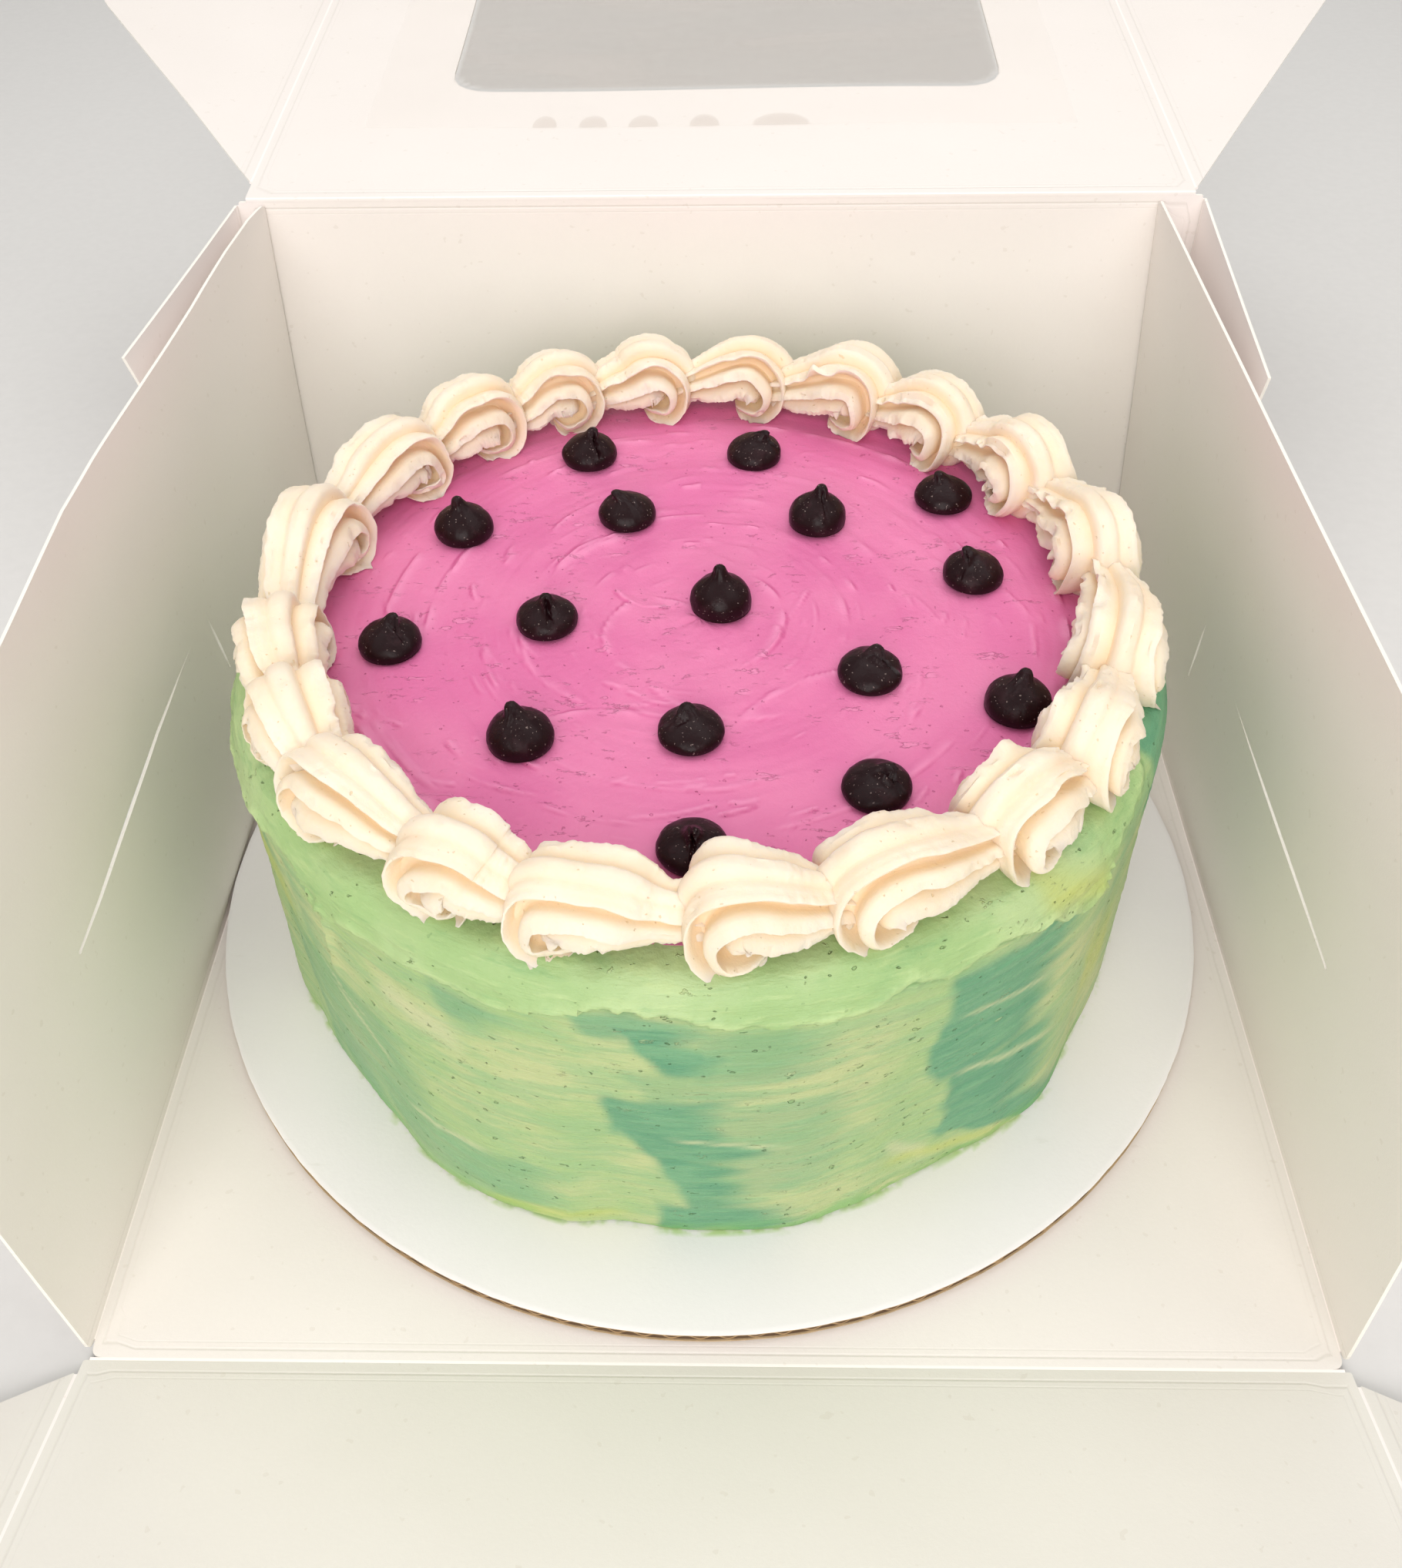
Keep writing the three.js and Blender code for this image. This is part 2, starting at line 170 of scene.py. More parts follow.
card_face = paperboard_finish("paperboard_face", (254, 247, 243), (248, 239, 234), 0.40)
# Painted shade: the next two finishes are darker copies of the same white card, for the base, lid and flaps,
# and darker still for the front wall.
card_shaded = paperboard_finish("paperboard_shaded", (241, 235, 230), (233, 226, 220), 0.42)
card_front_shaded = paperboard_finish("paperboard_front_shaded", (234, 230, 223), (226, 221, 213), 0.44)
card_edge = paperboard_finish("paperboard_cut_edge", (250, 247, 240), (236, 230, 219), 0.75)


def ease(distance, reach):
    share = min(max(distance / reach, 0.0), 1.0)
    return share * share * (3 - 2 * share)


def rough(*place):
    """A smooth random height, from about -0.5 to 0.5, that changes over a distance of about 1."""
    return noise.noise(Vector(place))


def wavy(u, v, seed, length):
    return rough(u / length, v / length, seed * 7.3)


def shaped_panel(name, node, body, origin, along, away, bend, from_crease, cards=(card_face, card_edge)):
    """The node's own flat panel, cut into a fine grid and bent out of its plane by bend(u, v), where u runs
    along the crease and v away from it. from_crease(u, v) is how far a point is from the nearest score."""
    inner = along.cross(away)
    cut = bmesh.new()
    cut.from_mesh(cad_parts[node].data)
    bmesh.ops.remove_doubles(cut, verts=cut.verts[:], dist=0.02 * MM)
    flat = radians(0.5)
    bmesh.ops.dissolve_limit(cut, angle_limit=flat, verts=cut.verts[:], edges=cut.edges[:])
    step = 6 * MM
    for axis in (along, away):
        reach = [(vertex.co - origin).dot(axis) for vertex in cut.verts]
        for line in range(math.ceil(min(reach) / step), math.floor(max(reach) / step) + 1):
            everything = cut.verts[:] + cut.edges[:] + cut.faces[:]
            place = origin + axis * (line * step)
            bmesh.ops.bisect_plane(cut, geom=everything, plane_co=place, plane_no=axis)
    points, distances = [], []
    for vertex in cut.verts:
        offset = vertex.co - origin
        u, v = offset.dot(along), offset.dot(away)
        points.append(vertex.co + inner * bend(u, v))
        distances.append(from_crease(u, v))
    cut.verts.index_update()
    faces = [[vertex.index for vertex in face.verts] for face in cut.faces]
    cut.normal_update()
    rims = [int(abs(face.normal.dot(inner)) < 0.7) for face in cut.faces]
    cut.free()
    finished_piece(name, points, faces, body, cards, {"from_crease": distances}, rims, node)


def placed(name, data):
    made = bpy.data.objects.new(name, data)
    bpy.context.scene.collection.objects.link(made)
    return made


def finished_piece(name, points, faces, body, materials, marks=None, choice=None, replaced=None):
    """A piece of mesh that rides on a body. marks are numbers kept at the points for the material, and
    choice says which material each face takes."""
    mesh = bpy.data.meshes.new(name)
    mesh.from_pydata(points, [], faces)
    for material in materials:
        mesh.materials.append(material)
    if choice:
        mesh.polygons.foreach_set("material_index", choice)
    for mark, values in (marks or {}).items():
        kept = mesh.attributes.new(mark, "FLOAT", "POINT")
        kept.data.foreach_set("value", np.asarray(values, dtype=np.float32))
    mesh.validate()
    mesh.shade_smooth()
    mesh.set_sharp_from_angle(angle=radians(50))
    piece = placed(name, mesh)
    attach(piece, body)
    if replaced:
        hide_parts(replaced)


HALF_WIDTH, HALF_DEPTH = 129.2 * MM, 131 * MM
CREASE_X, CREASE_Y, CREASE_Z = HALF_WIDTH + CARD / 2, HALF_DEPTH + CARD / 2, CARD / 2
WALL_HEIGHT = 127.35 * MM
EAR_X = 130.65 * MM
LID_CREASE_Z = 128.4 * MM
LID_LENGTH, LID_FLAP_X = 261.5 * MM, 128.55 * MM


def turned(vector, axis, degrees):
    return Matrix.Rotation(radians(degrees), 3, axis) @ vector


def base_bend(u, v):
    return 0.1 * MM * wavy(u, v, 1, 0.07) * ease(min(CREASE_X - abs(u), CREASE_Y - abs(v)), 0.02)


shaped_panel("card_base", "base_panel", "carton", Vector((0, 0, CREASE_Z)), X_AXIS, Y_AXIS, base_bend,
             lambda u, v: min(CREASE_X - abs(u), CREASE_Y - abs(v)), (card_shaded, card_edge))

# The left wall bows: its top leans in at the back corner and a little out at the middle, in degrees by y.
LEFT_LEAN_AT = [
    (-129, 0), (-60, 0), (-40, -0.5), (-12, -1.3), (8, -1.2), (34, -0.5), (63, 0.1), (72, 0.3), (101, 0.7),
    (123, 1.4), (129, 2.1),
]


def left_bend(u, v):
    lean = np.interp(u / MM, *zip(*LEFT_LEAN_AT))
    return math.tan(radians(lean)) * v + 0.5 * MM * wavy(u, v, 2, 0.045) * ease(v, 0.05)


def right_bend(u, v):
    return (0.6 * wavy(u, v, 3, 0.06) - 0.05) * MM * ease(v, 0.06)


shaped_panel("card_wall_left", "side_wall_left", "side_wall_left", Vector((-CREASE_X, 0, CREASE_Z)), Y_AXIS,
             turned(Z_AXIS, "Y", 0.8), left_bend, lambda u, v: v)
shaped_panel("card_wall_right", "side_wall_right", "side_wall_right", Vector((CREASE_X, 0, CREASE_Z)),
             -Y_AXIS, turned(Z_AXIS, "Y", -5), right_bend, lambda u, v: v)


def back_bend(u, v):
    edge = min(EAR_X - abs(u), v, WALL_HEIGHT - v)
    return (0.9 * wavy(u, v, 4, 0.08) + 0.5) * MM * ease(edge, 0.045)


def near_fold(u, v):
    return min(abs(EAR_X - abs(u)), v, WALL_HEIGHT + CARD - v)


back_origin = Vector((0, CREASE_Y, CREASE_Z))
shaped_panel("card_back_wall", "back_wall", "carton", back_origin, X_AXIS, Z_AXIS, back_bend, near_fold)
for side, sign, body in (("left", -1, "carton"), ("right", 1, "back_ear_right")):
    ear_origin = Vector((sign * EAR_X, CREASE_Y, CREASE_Z))
    shaped_panel(f"card_back_ear_{side}", f"back_ear_{side}", body, ear_origin, -Y_AXIS * sign, Z_AXIS,
                 lambda u, v: 0.35 * MM * wavy(u, v, 5, 0.04) * ease(abs(u), 0.03),
                 lambda u, v: abs(u))

front_away = turned(-Y_AXIS, "X", -15)
front_origin = Vector((0, -CREASE_Y, CREASE_Z))


def front_bend(u, v):
    return 0.9 * MM * wavy(u, v, 6, 0.08) * ease(min(EAR_X - abs(u), v), 0.04)


shaped_panel("card_front_wall", "front_wall", "front_wall", front_origin, -X_AXIS, front_away, front_bend,
             lambda u, v: min(EAR_X - abs(u), v), (card_front_shaded, card_edge))
for side in ("left", "right"):
    ear = f"front_ear_{side}"
    shaped_panel(f"card_{ear}", ear, ear, front_origin, -X_AXIS, front_away,
                 lambda u, v: (0.5 * wavy(u, v, 7, 0.05) - 0.7) * MM * ease(abs(u) - EAR_X, 0.04),
                 lambda u, v: abs(u) - EAR_X, (card_front_shaded, card_edge))

# Lid
# The same blank's top panel, hinged on the back wall and thrown back, with a die-cut window, two side
# flaps and a tuck flap. A sheet of clear film is glued over the window on the inside.
lid_away = turned(Y_AXIS, "X", 4)
lid_origin = Vector((0, CREASE_Y, LID_CREASE_Z))
WINDOW = {"left": -80.5 * MM, "right": 84.5 * MM, "near": 63 * MM, "far": 205 * MM, "corner": 12 * MM}
FILM = {"left": -102 * MM, "right": 102.5 * MM, "near": 39 * MM, "far": 229 * MM, "thickness": 0.3 * MM}


def lid_point(u, v):
    return lid_origin + X_AXIS * u + lid_away * v


def lid_bend(u, v):
    edge = min(LID_FLAP_X - abs(u), v, LID_LENGTH - v)
    return 0.8 * MM * wavy(u, v, 8, 0.09) * ease(edge, 0.05)


def lid_fold(u, v):
    return min(LID_FLAP_X - abs(u), v, LID_LENGTH - v)


shaped_panel("card_lid", "lid_panel", "lid", lid_origin, X_AXIS, lid_away, lid_bend, lid_fold,
             (card_shaded, card_edge))
for side in ("left", "right"):
    flap = f"lid_flap_{side}"
    shaped_panel(f"card_{flap}", flap, flap, lid_origin, X_AXIS, lid_away,
                 lambda u, v: (0.5 * wavy(u, v, 9, 0.06) + 1.2) * MM * ease(abs(u) - LID_FLAP_X, 0.03),
                 lambda u, v: abs(u) - LID_FLAP_X, (card_shaded, card_edge))
shaped_panel("card_tuck_flap", "lid_tuck_flap", "lid_tuck_flap", lid_origin, X_AXIS, lid_away,
             lambda u, v: 0.4 * MM * wavy(u, v, 10, 0.05) * ease(v - LID_LENGTH, 0.02),
             lambda u, v: v - LID_LENGTH, (card_shaded, card_edge))


# Air bubbles along the film's near edge, which its glue hasn't wetted: middle and half width in mm.
FILM_BUBBLES = [(-50, 3.8), (-36, 4.4), (-21.5, 4.6), (-4, 4.6), (18, 8.8)]


def film_finish():
    place = start_finish("clear_film")
    along, away = place.part(0), place.part(1)
    glued = place.mark("glued")
    streaks = between(speckle(place, 0.022, 2.0, 0.5, (2.4, 1.0, 1)), 0.46, 0.74)
    haze = speckle(place, 0.05, 2.0, 0.5)
    from_edge = (away - CREASE_Y - FILM["near"] * lid_away.y) / (7.5 * MM)
    bubbles = 0
    for middle, half_width in FILM_BUBBLES:
        across = (along - middle * MM) / (half_width * MM)
        bubbles = bubbles + 1 - between(across * across + from_edge * from_edge, 0.7, 1.0)
    # Painted reflection: the streaks make the film paler and less clear, standing in for faint reflected
    # light.
    clear = 0.22 + streaks * 0.12 + haze * 0.10
    stuck = 0.02 + haze * 0.03 + bubbles * 0.06
    margin = mixed(bubbles, (252, 246, 239), (206, 190, 176))
    colour = mixed(glued, mixed(streaks, (198, 189, 180), (208, 200, 192)), margin)
    roughness = 0.09 + haze * 0.06
    clear_coat = {"Alpha": glued * stuck + (1 - glued) * clear, "Coat Weight": 0.3, "Coat Roughness": 0.12}
    return end_finish(place, colour, roughness, 0.5, haze * 1.0 + streaks * 0.15, 0.0005, clear_coat)


# The film's mesh is a fine sheet that follows the lid, with its glued margin marked.
def film_sheet():
    columns, rows = 104, 96
    points, glued, faces = [], [], []
    inner, corner = X_AXIS.cross(lid_away), WINDOW["corner"]
    lowest = CARD / 2 + 0.3 * MM
    for lift in (lowest, lowest + FILM["thickness"]):
        for v in np.linspace(FILM["near"], FILM["far"], rows + 1):
            for u in np.linspace(FILM["left"], FILM["right"], columns + 1):
                slack = 0.25 * MM * (0.5 + wavy(u, v, 11, 0.03))
                from_side = min(u - WINDOW["left"], WINDOW["right"] - u)
                from_end = min(v - WINDOW["near"], WINDOW["far"] - v)
                inside = min(from_side, from_end)
                if max(from_side, from_end) < corner:
                    inside = corner - hypot(corner - from_side, corner - from_end)
                up = lid_bend(u, v) + lift + slack * ease(inside, 0.02)
                points.append(lid_point(u, v) + inner * up)
                glued.append(1 - ease(inside, 0.002))
    across = columns + 1
    count = across * (rows + 1)
    for row in range(rows):
        for column in range(columns):
            a = row * across + column
            faces.append((a + count, a + count + 1, a + count + across + 1, a + count + across))
            faces.append((a, a + across, a + across + 1, a + 1))
    border = list(range(across))
    border += [row * across + columns for row in range(1, rows + 1)]
    border += [rows * across + column for column in reversed(range(columns))]
    border += [row * across for row in reversed(range(1, rows))]
    for here, there in zip(border, border[1:] + border[:1]):
        faces.append((here, there, there + count, here + count))
    finished_piece("window_sheet", points, faces, "lid", [film_finish()], {"glued": glued},
                   replaced="window_film")


film_sheet()

# Folds
# Where the card was scored and folded it stays in one piece: a narrow strip with a rounded back bridges
# each crease, so no gap opens at any angle of the fold.
SCORE_REACH = 0.65 * MM


def rope_faces(stations, size):
    """The faces of a closed rope, whose points come in rings of the given size."""
    faces = []
    for station in range(stations - 1):
        for i in range(size):
            a, b = station * size + i, station * size + (i + 1) % size
            faces.append((a, b, b + size, a + size))
    return faces + [tuple(reversed(range(size))), tuple(range((stations - 1) * size, stations * size))]


def fold_strip(name, body, start, end, towards_panel, reach=SCORE_REACH):
    line = end - start
    steps = max(int(line.length / (6 * MM)), 2)
    side = line.normalized().cross(towards_panel).normalized()
    half = CARD / 2
    section = [(reach, -half), (0, -half)]
    section += [(-half * sin(a), -half * cos(a)) for a in np.linspace(0, pi, 8)[1:-1]]
    section += [(0, half), (reach, half)]
    points = []
    for station in range(steps + 1):
        centre = start + line * (station / steps)
        points += [centre + towards_panel * out + side * up for out, up in section]
    faces = rope_faces(steps + 1, len(section))
    finished_piece(name, points, faces, body, [card_face], {"from_crease": [0.0] * len(points)})


def front_point(u, v):
    return front_origin - X_AXIS * u + front_away * v


WALL_END, BACK_END, LID_END, TUCK_END = 127 * MM, 128.8 * MM, 127.8 * MM, 124.6 * MM
EAR_FOOT, EAR_HEAD = 3.4 * MM, 126.6 * MM
for sign, side in ((-1, "left"), (1, "right")):
    inward = X_AXIS * -sign
    fold_strip(f"fold_base_{side}", "carton", Vector((sign * CREASE_X, -WALL_END, CREASE_Z)),
               Vector((sign * CREASE_X, WALL_END, CREASE_Z)), inward)
    fold_strip(f"fold_back_corner_{side}", "carton", Vector((sign * EAR_X, CREASE_Y, EAR_FOOT)),
               Vector((sign * EAR_X, CREASE_Y, EAR_HEAD)), inward)
    start = 9 * MM if sign < 0 else 2 * MM
    fold_strip(f"fold_lid_{side}", "lid", lid_point(sign * LID_FLAP_X, start),
               lid_point(sign * LID_FLAP_X, LID_LENGTH - 5 * MM), inward)
    fold_strip(f"fold_front_corner_{side}", "front_wall", front_point(-sign * EAR_X, EAR_FOOT),
               front_point(-sign * EAR_X, EAR_HEAD), inward)
for name, y, z, end, towards, reach in (("base_back", CREASE_Y, CREASE_Z, BACK_END, -Y_AXIS, SCORE_REACH),
                                        ("back_foot", CREASE_Y, CREASE_Z, BACK_END, Z_AXIS, CARD),
                                        ("base_front", -CREASE_Y, CREASE_Z, BACK_END, Y_AXIS, SCORE_REACH),
                                        ("back_top", CREASE_Y, LID_CREASE_Z, LID_END, -Z_AXIS, 0.72 * MM)):
    fold_strip(f"fold_{name}", "carton", Vector((-end, y, z)), Vector((end, y, z)), towards, reach)
fold_strip("fold_tuck", "lid", lid_point(-TUCK_END, LID_LENGTH), lid_point(TUCK_END, LID_LENGTH), -lid_away)

# Cake board
# A round board of corrugated card, cut with a die. Its top is faced with smooth white paper, and the cut
# rim shows the brown fluted middle between two liners.
BOARD = {"radius": 126.3 * MM, "bottom": 1.0 * MM, "top": 4.0 * MM, "x": -2.4 * MM, "y": -0.1 * MM}
CAKE_X, CAKE_Y = -3.4 * MM, 1.4 * MM
CAKE = {"foot": 105.7 * MM, "rim": 104.2 * MM, "rim_z": 80.7 * MM,
        "shoulder": 97.3 * MM, "foot_z": 4.3 * MM, "top_z": 89.2 * MM}

# The cake's foot isn't quite round: its radius, in mm, by the angle in degrees.
FOOT_RADII = [
    (0, 106.3), (20, 104.8), (45, 106.8), (70, 104.9), (95, 106.6), (120, 105.0), (150, 106.9),
    (180, 105.2), (202, 107.4), (209, 104.9), (220, 104.6), (227, 105), (239, 107.8), (245, 108.1),
    (254, 107.1), (261, 104.5), (271, 105.7), (281, 106.5), (288, 104.9), (296, 103.4), (302, 103.6),
    (310, 105.4), (317, 106.7), (329, 104.3), (344, 106.0), (360, 106.3),
]


def read_off(table, at):
    """Reads a table of (place, value) pairs, in rising places, with soft turns at its points."""
    places = [place for place, _ in table]
    after = min(max(int(np.searchsorted(places, at)), 1), len(table) - 1)
    (low, first), (high, second) = table[after - 1], table[after]
    return first + (second - first) * ease(at - low, high - low)


def foot_radius(degrees):
    return read_off(FOOT_RADII, degrees % 360) * MM


def on_cake(radius, angle, z):
    return Vector((CAKE_X + radius * cos(angle), CAKE_Y + radius * sin(angle), z))


def revolved(profile, segments, centre, place):
    """A closed skin of rings round an upright axis. The profile's rows are (radius, z) from the bottom's
    middle to the top's, and place(radius, angle, z) gives each point."""
    points = [Vector((centre[0], centre[1], profile[0][1]))]
    for radius, z in profile[1:-1]:
        for segment in range(segments):
            points.append(place(radius, 2 * pi * segment / segments, z))
    points.append(Vector((centre[0], centre[1], profile[-1][1])))
    faces = []
    for segment in range(segments):
        after = (segment + 1) % segments
        faces.append((0, 1 + after, 1 + segment))
        for row in range(len(profile) - 3):
            low, high = 1 + row * segments, 1 + (row + 1) * segments
            faces.append((low + segment, low + after, high + after, high + segment))
        last = 1 + (len(profile) - 3) * segments
        faces.append((last + segment, last + after, len(points) - 1))
    return points, faces


def board_finish():
    place = start_finish("board_paper")
    smear = place.mark("smear")
    fibres = speckle(place, 0.0011, 4.0, 0.6)
    cloudy = speckle(place, 0.03, 2.0, 0.5)
    patchy = between(speckle(place, 0.007, 3.0, 0.6), 0.42, 0.62)
    scuffs = between(speckle(place, 0.006, 3.0, 0.7, (3, 0.6, 1)), 0.68, 0.75)
    paper = mixed(cloudy * 0.6 + fibres * 0.25, (247, 243, 244), (236, 232, 233))
    paper = mixed(scuffs * 0.2, paper, (214, 211, 204))
    paper = mixed(smear * patchy * 0.8, paper, (176, 208, 120))
    roughness = 0.34 + fibres * 0.14 + scuffs * 0.15
    return end_finish(place, paper, roughness, 0.45, fibres * 0.35 + cloudy * 1.2, 0.0001)


def flute_finish():
    place = start_finish("board_fluting")
    x, z = place.part(0), place.part(2)
    fibres = speckle(place, 0.0012, 4.0, 0.7)
    wander = speckle(place, 0.02, 1.0) * 0.002
    wave = place.maths("SINE", (x + wander) * (2 * pi / 0.0058))
    paper_line = 1 - between(abs(z - 0.0025 - wave * 0.00085), 0.0002, 0.00045)
    kraft = mixed(fibres, (196, 164, 122), (160, 126, 88))
    # Painted shade: the flutes' hollows above and below the wavy paper line are painted dark brown.
    shade = mixed(paper_line, (92, 68, 46), kraft)
    return end_finish(place, shade, 0.85, 0.5, paper_line + fibres * 0.5, 0.0003)


def liner_finish():
    place = start_finish("board_liner")
    fibres = speckle(place, 0.001, 4.0, 0.7)
    kraft = mixed(fibres, (214, 190, 152), (176, 146, 108))
    return end_finish(place, kraft, 0.8, 0.5, fibres, 0.0001)


def cake_board():
    radius, bottom, top = BOARD["radius"], BOARD["bottom"], BOARD["top"]
    liner = 0.4 * MM
    inset = 0.35 * MM
    rows = [(0, bottom), (60 * MM, bottom), (radius - liner, bottom), (radius, bottom + 0.1 * MM),
            (radius, bottom + liner), (radius - inset, bottom + liner), (radius - inset, bottom + 1.1 * MM),
            (radius - inset, top - 1.1 * MM), (radius - inset, top - liner), (radius, top - liner),
            (radius, top - 0.12 * MM), (radius - 0.2 * MM, top)]
    rows += [(r * MM, top) for r in (125, 122, 119, 116, 113.5, *range(112, 101, -1), 100, 90, 60, 30)]
    rows.append((0, top))
    smear = [0.0]

    def place(r, angle, z):
        wobble = 0.12 * MM * rough(cos(angle) * 40, sin(angle) * 40, z * 900)
        reach = r + (wobble if r > 124 * MM else 0.0)
        point = Vector((BOARD["x"] + reach * cos(angle), BOARD["y"] + reach * sin(angle), z))
        off = point - Vector((CAKE_X, CAKE_Y, z))
        degrees = math.degrees(math.atan2(off.y, off.x))
        beyond = off.length - foot_radius(degrees)
        spread = 1.8 * MM * (0.2 + rough(degrees / 7, 3.1, 0))
        smear.append(1 - ease(beyond, max(spread, 0.25 * MM)) if z >= top else 0.0)
        return point

    segments = 480
    points, faces = revolved(rows, segments, (BOARD["x"], BOARD["y"]), place)
    smear.append(1.0)
    # From the bottom's middle: the lower liner, the fluting, the upper liner, and the top's white paper.
    by_row = [2] * 5 + [1] * 4 + [2] + [0] * (len(rows) - 11)
    materials = [board_finish(), flute_finish(), liner_finish()]
    finished_piece("round_board", points, faces, "carton", materials, {"smear": smear}, by_row * segments,
                   "cake_board")


cake_board()

# Iced cake
# A tall layer cake coated with green buttercream by hand: two shades smeared together with a scraper on a
# turntable, and a band of the paler one pulled over the rim, whose lower edge is left ragged.
BAND_EDGE = [
    (0, 80), (25, 83), (60, 79), (100, 82), (140, 79), (175, 82), (200, 78), (215, 82), (221, 82.5),
    (224, 76), (232, 79.5), (240, 80), (249, 78.3), (256, 81), (262, 84), (268, 83), (272, 80.5),
    (280, 79.3), (287, 79.5), (293, 83.3), (297, 81), (303, 83), (311, 80.5), (314, 76), (317, 73.5),
    (321, 74), (323, 83), (331, 86), (336, 91), (353, 91), (357, 84), (360, 80),
]

# Darker patches, smeared to the right by the scraper: left and right end in degrees, lowest and highest z in
# mm, lean in degrees a mm, strength.
TEAL_PATCHES = [
    (258, 271.3, 73.5, 82.5, -0.3, 0.7), (264, 271.3, 65, 80, -0.4, 1.0), (270, 282, 61, 78, 0, 0.5),
    (264, 277, 55, 65, -0.3, 0.35), (242, 249, 68, 77, -0.2, 0.6), (260.5, 273, 42, 56, 0, 0.95),
    (263, 276, 33, 46, -0.35, 1.0), (266.5, 275, 18, 38, -0.2, 1.0), (268.5, 275, 11, 24, -0.1, 0.9),
    (265.5, 280, 4, 15, 0, 0.95), (272, 286, 20, 54, 0.1, 0.4), (298, 315, 61, 79, 0, 0.95),
    (297.5, 312, 41, 64, 0, 1.0), (300.3, 315, 17, 43, 0, 1.0), (306, 317, 3, 22, -0.95, 1.0),
    (216, 236, 16, 52, -0.2, 0.45), (216.5, 227, 4, 26, -0.1, 0.6), (228, 252, 8, 25, 0, 0.5),
    (210, 215, 4, 80, -0.1, 0.6), (218, 222, 30, 78, -0.1, 0.4), (191, 199, 15, 84, 0, 0.7),
    (326, 333, 44, 84, 0, 0.35), (335, 353, 68, 94, 0, 1.0), (344, 357, 12, 66, -0.1, 0.75),
    (2, 16, 30, 78, 0, 0.8), (24, 33, 12, 46, 0.1, 0.9), (42, 58, 50, 76, 0, 1.0),
    (60, 71, 6, 44, -0.1, 0.8), (80, 95, 38, 66, 0, 0.9), (98, 112, 10, 32, 0, 0.7),
    (114, 127, 56, 78, 0, 0.9), (128, 140, 14, 58, 0.1, 1.0), (146, 160, 50, 72, 0, 0.7),
    (154, 167, 5, 32, 0, 0.9), (172, 180, 30, 76, 0, 0.6),
]

# Pale smears left by the scraper: start angle and height, end angle and height, half width in mm.
PALE_STREAKS = [
    (299, 64, 315, 57.5, 0.6), (299, 42.5, 318, 34, 0.7), (304, 40, 314, 36.5, 0.35),
    (221, 48, 233, 33, 0.8), (219, 54, 229, 43, 0.5), (232, 66, 246, 60, 3.0), (266, 42.5, 282, 38, 0.5),
    (292, 24, 300, 12, 2.4), (232, 23, 247, 25, 0.7), (20, 46, 44, 40, 1.0), (70, 62, 96, 68, 1.2),
    (110, 40, 130, 52, 1.0), (150, 30, 172, 36, 1.0),
]

# Upright ridges where the scraper was lifted: angle, lowest and highest z, height of the ridge, in mm.
LIFT_MARKS = [
    (224.5, 55, 80, 0.9), (271.3, 64, 80, 0.4), (255, 8, 24, 0.35), (299.6, 20, 40, 0.3),
    (293, 80, 86, 0.5), (238, 20, 60, 0.2), (40, 10, 70, 0.5), (115, 20, 60, 0.4), (170, 30, 80, 0.5),
]

# Smears where more yellow was left in the icing, in the same numbers.
YELLOW_SMEARS = [
    (308, 88, 323, 76, 3.6), (291, 17, 313, 5, 1.7), (242, 5, 264, 9, 1.6), (196, 64, 216, 58, 7),
    (322, 40, 334, 34, 12), (55, 10, 75, 6, 2.0), (128, 84, 142, 76, 3.0),
]

# A degree round the cake's side is this long, in mm.
DEGREE_LENGTH = 1.83
ICING_MARKS = ("teal", "band", "streak", "yellow", "shade_under_edge", "highlight_on_edge")


def turn_between(angle, other):
    return (angle - other + 180) % 360 - 180


def patch_strength(degrees, height):
    around = degrees * DEGREE_LENGTH
    ragged = 2.6 * rough(around / 9, height / 7, 2.0)
    smeared = 4 * rough(around / 45, height / 3.6, 5.0)
    strength = 0.0
    for left, right, lowest, highest, lean, weight in TEAL_PATCHES:
        if lowest - 5 < height < highest + 5:
            shift = lean * (height - (lowest + highest) / 2)
            into = turn_between(degrees, left + shift)
            if -3 < into < right - left + 9:
                across = ease(into + 0.9 + 0.55 * ragged, 1.9) * ease(right - left - into + 4 + smeared, 8)
                up = ease(min(height - lowest, highest - height) + 2.4 + ragged, 5.0)
                strength = max(strength, weight * across * up)
    return strength


def streak_strength(degrees, height, streaks):
    strength = 0.0
    for start, low, end, high, half_width in streaks:
        share = turn_between(degrees, start) / (end - start)
        if 0 < share < 1:
            middle = low + (high - low) * share + rough(degrees / 5, start, 0)
            ends = ease(min(share, 1 - share), 0.25)
            strength = max(strength, ends * (1 - ease(abs(height - middle), 2 * half_width)))
    return strength


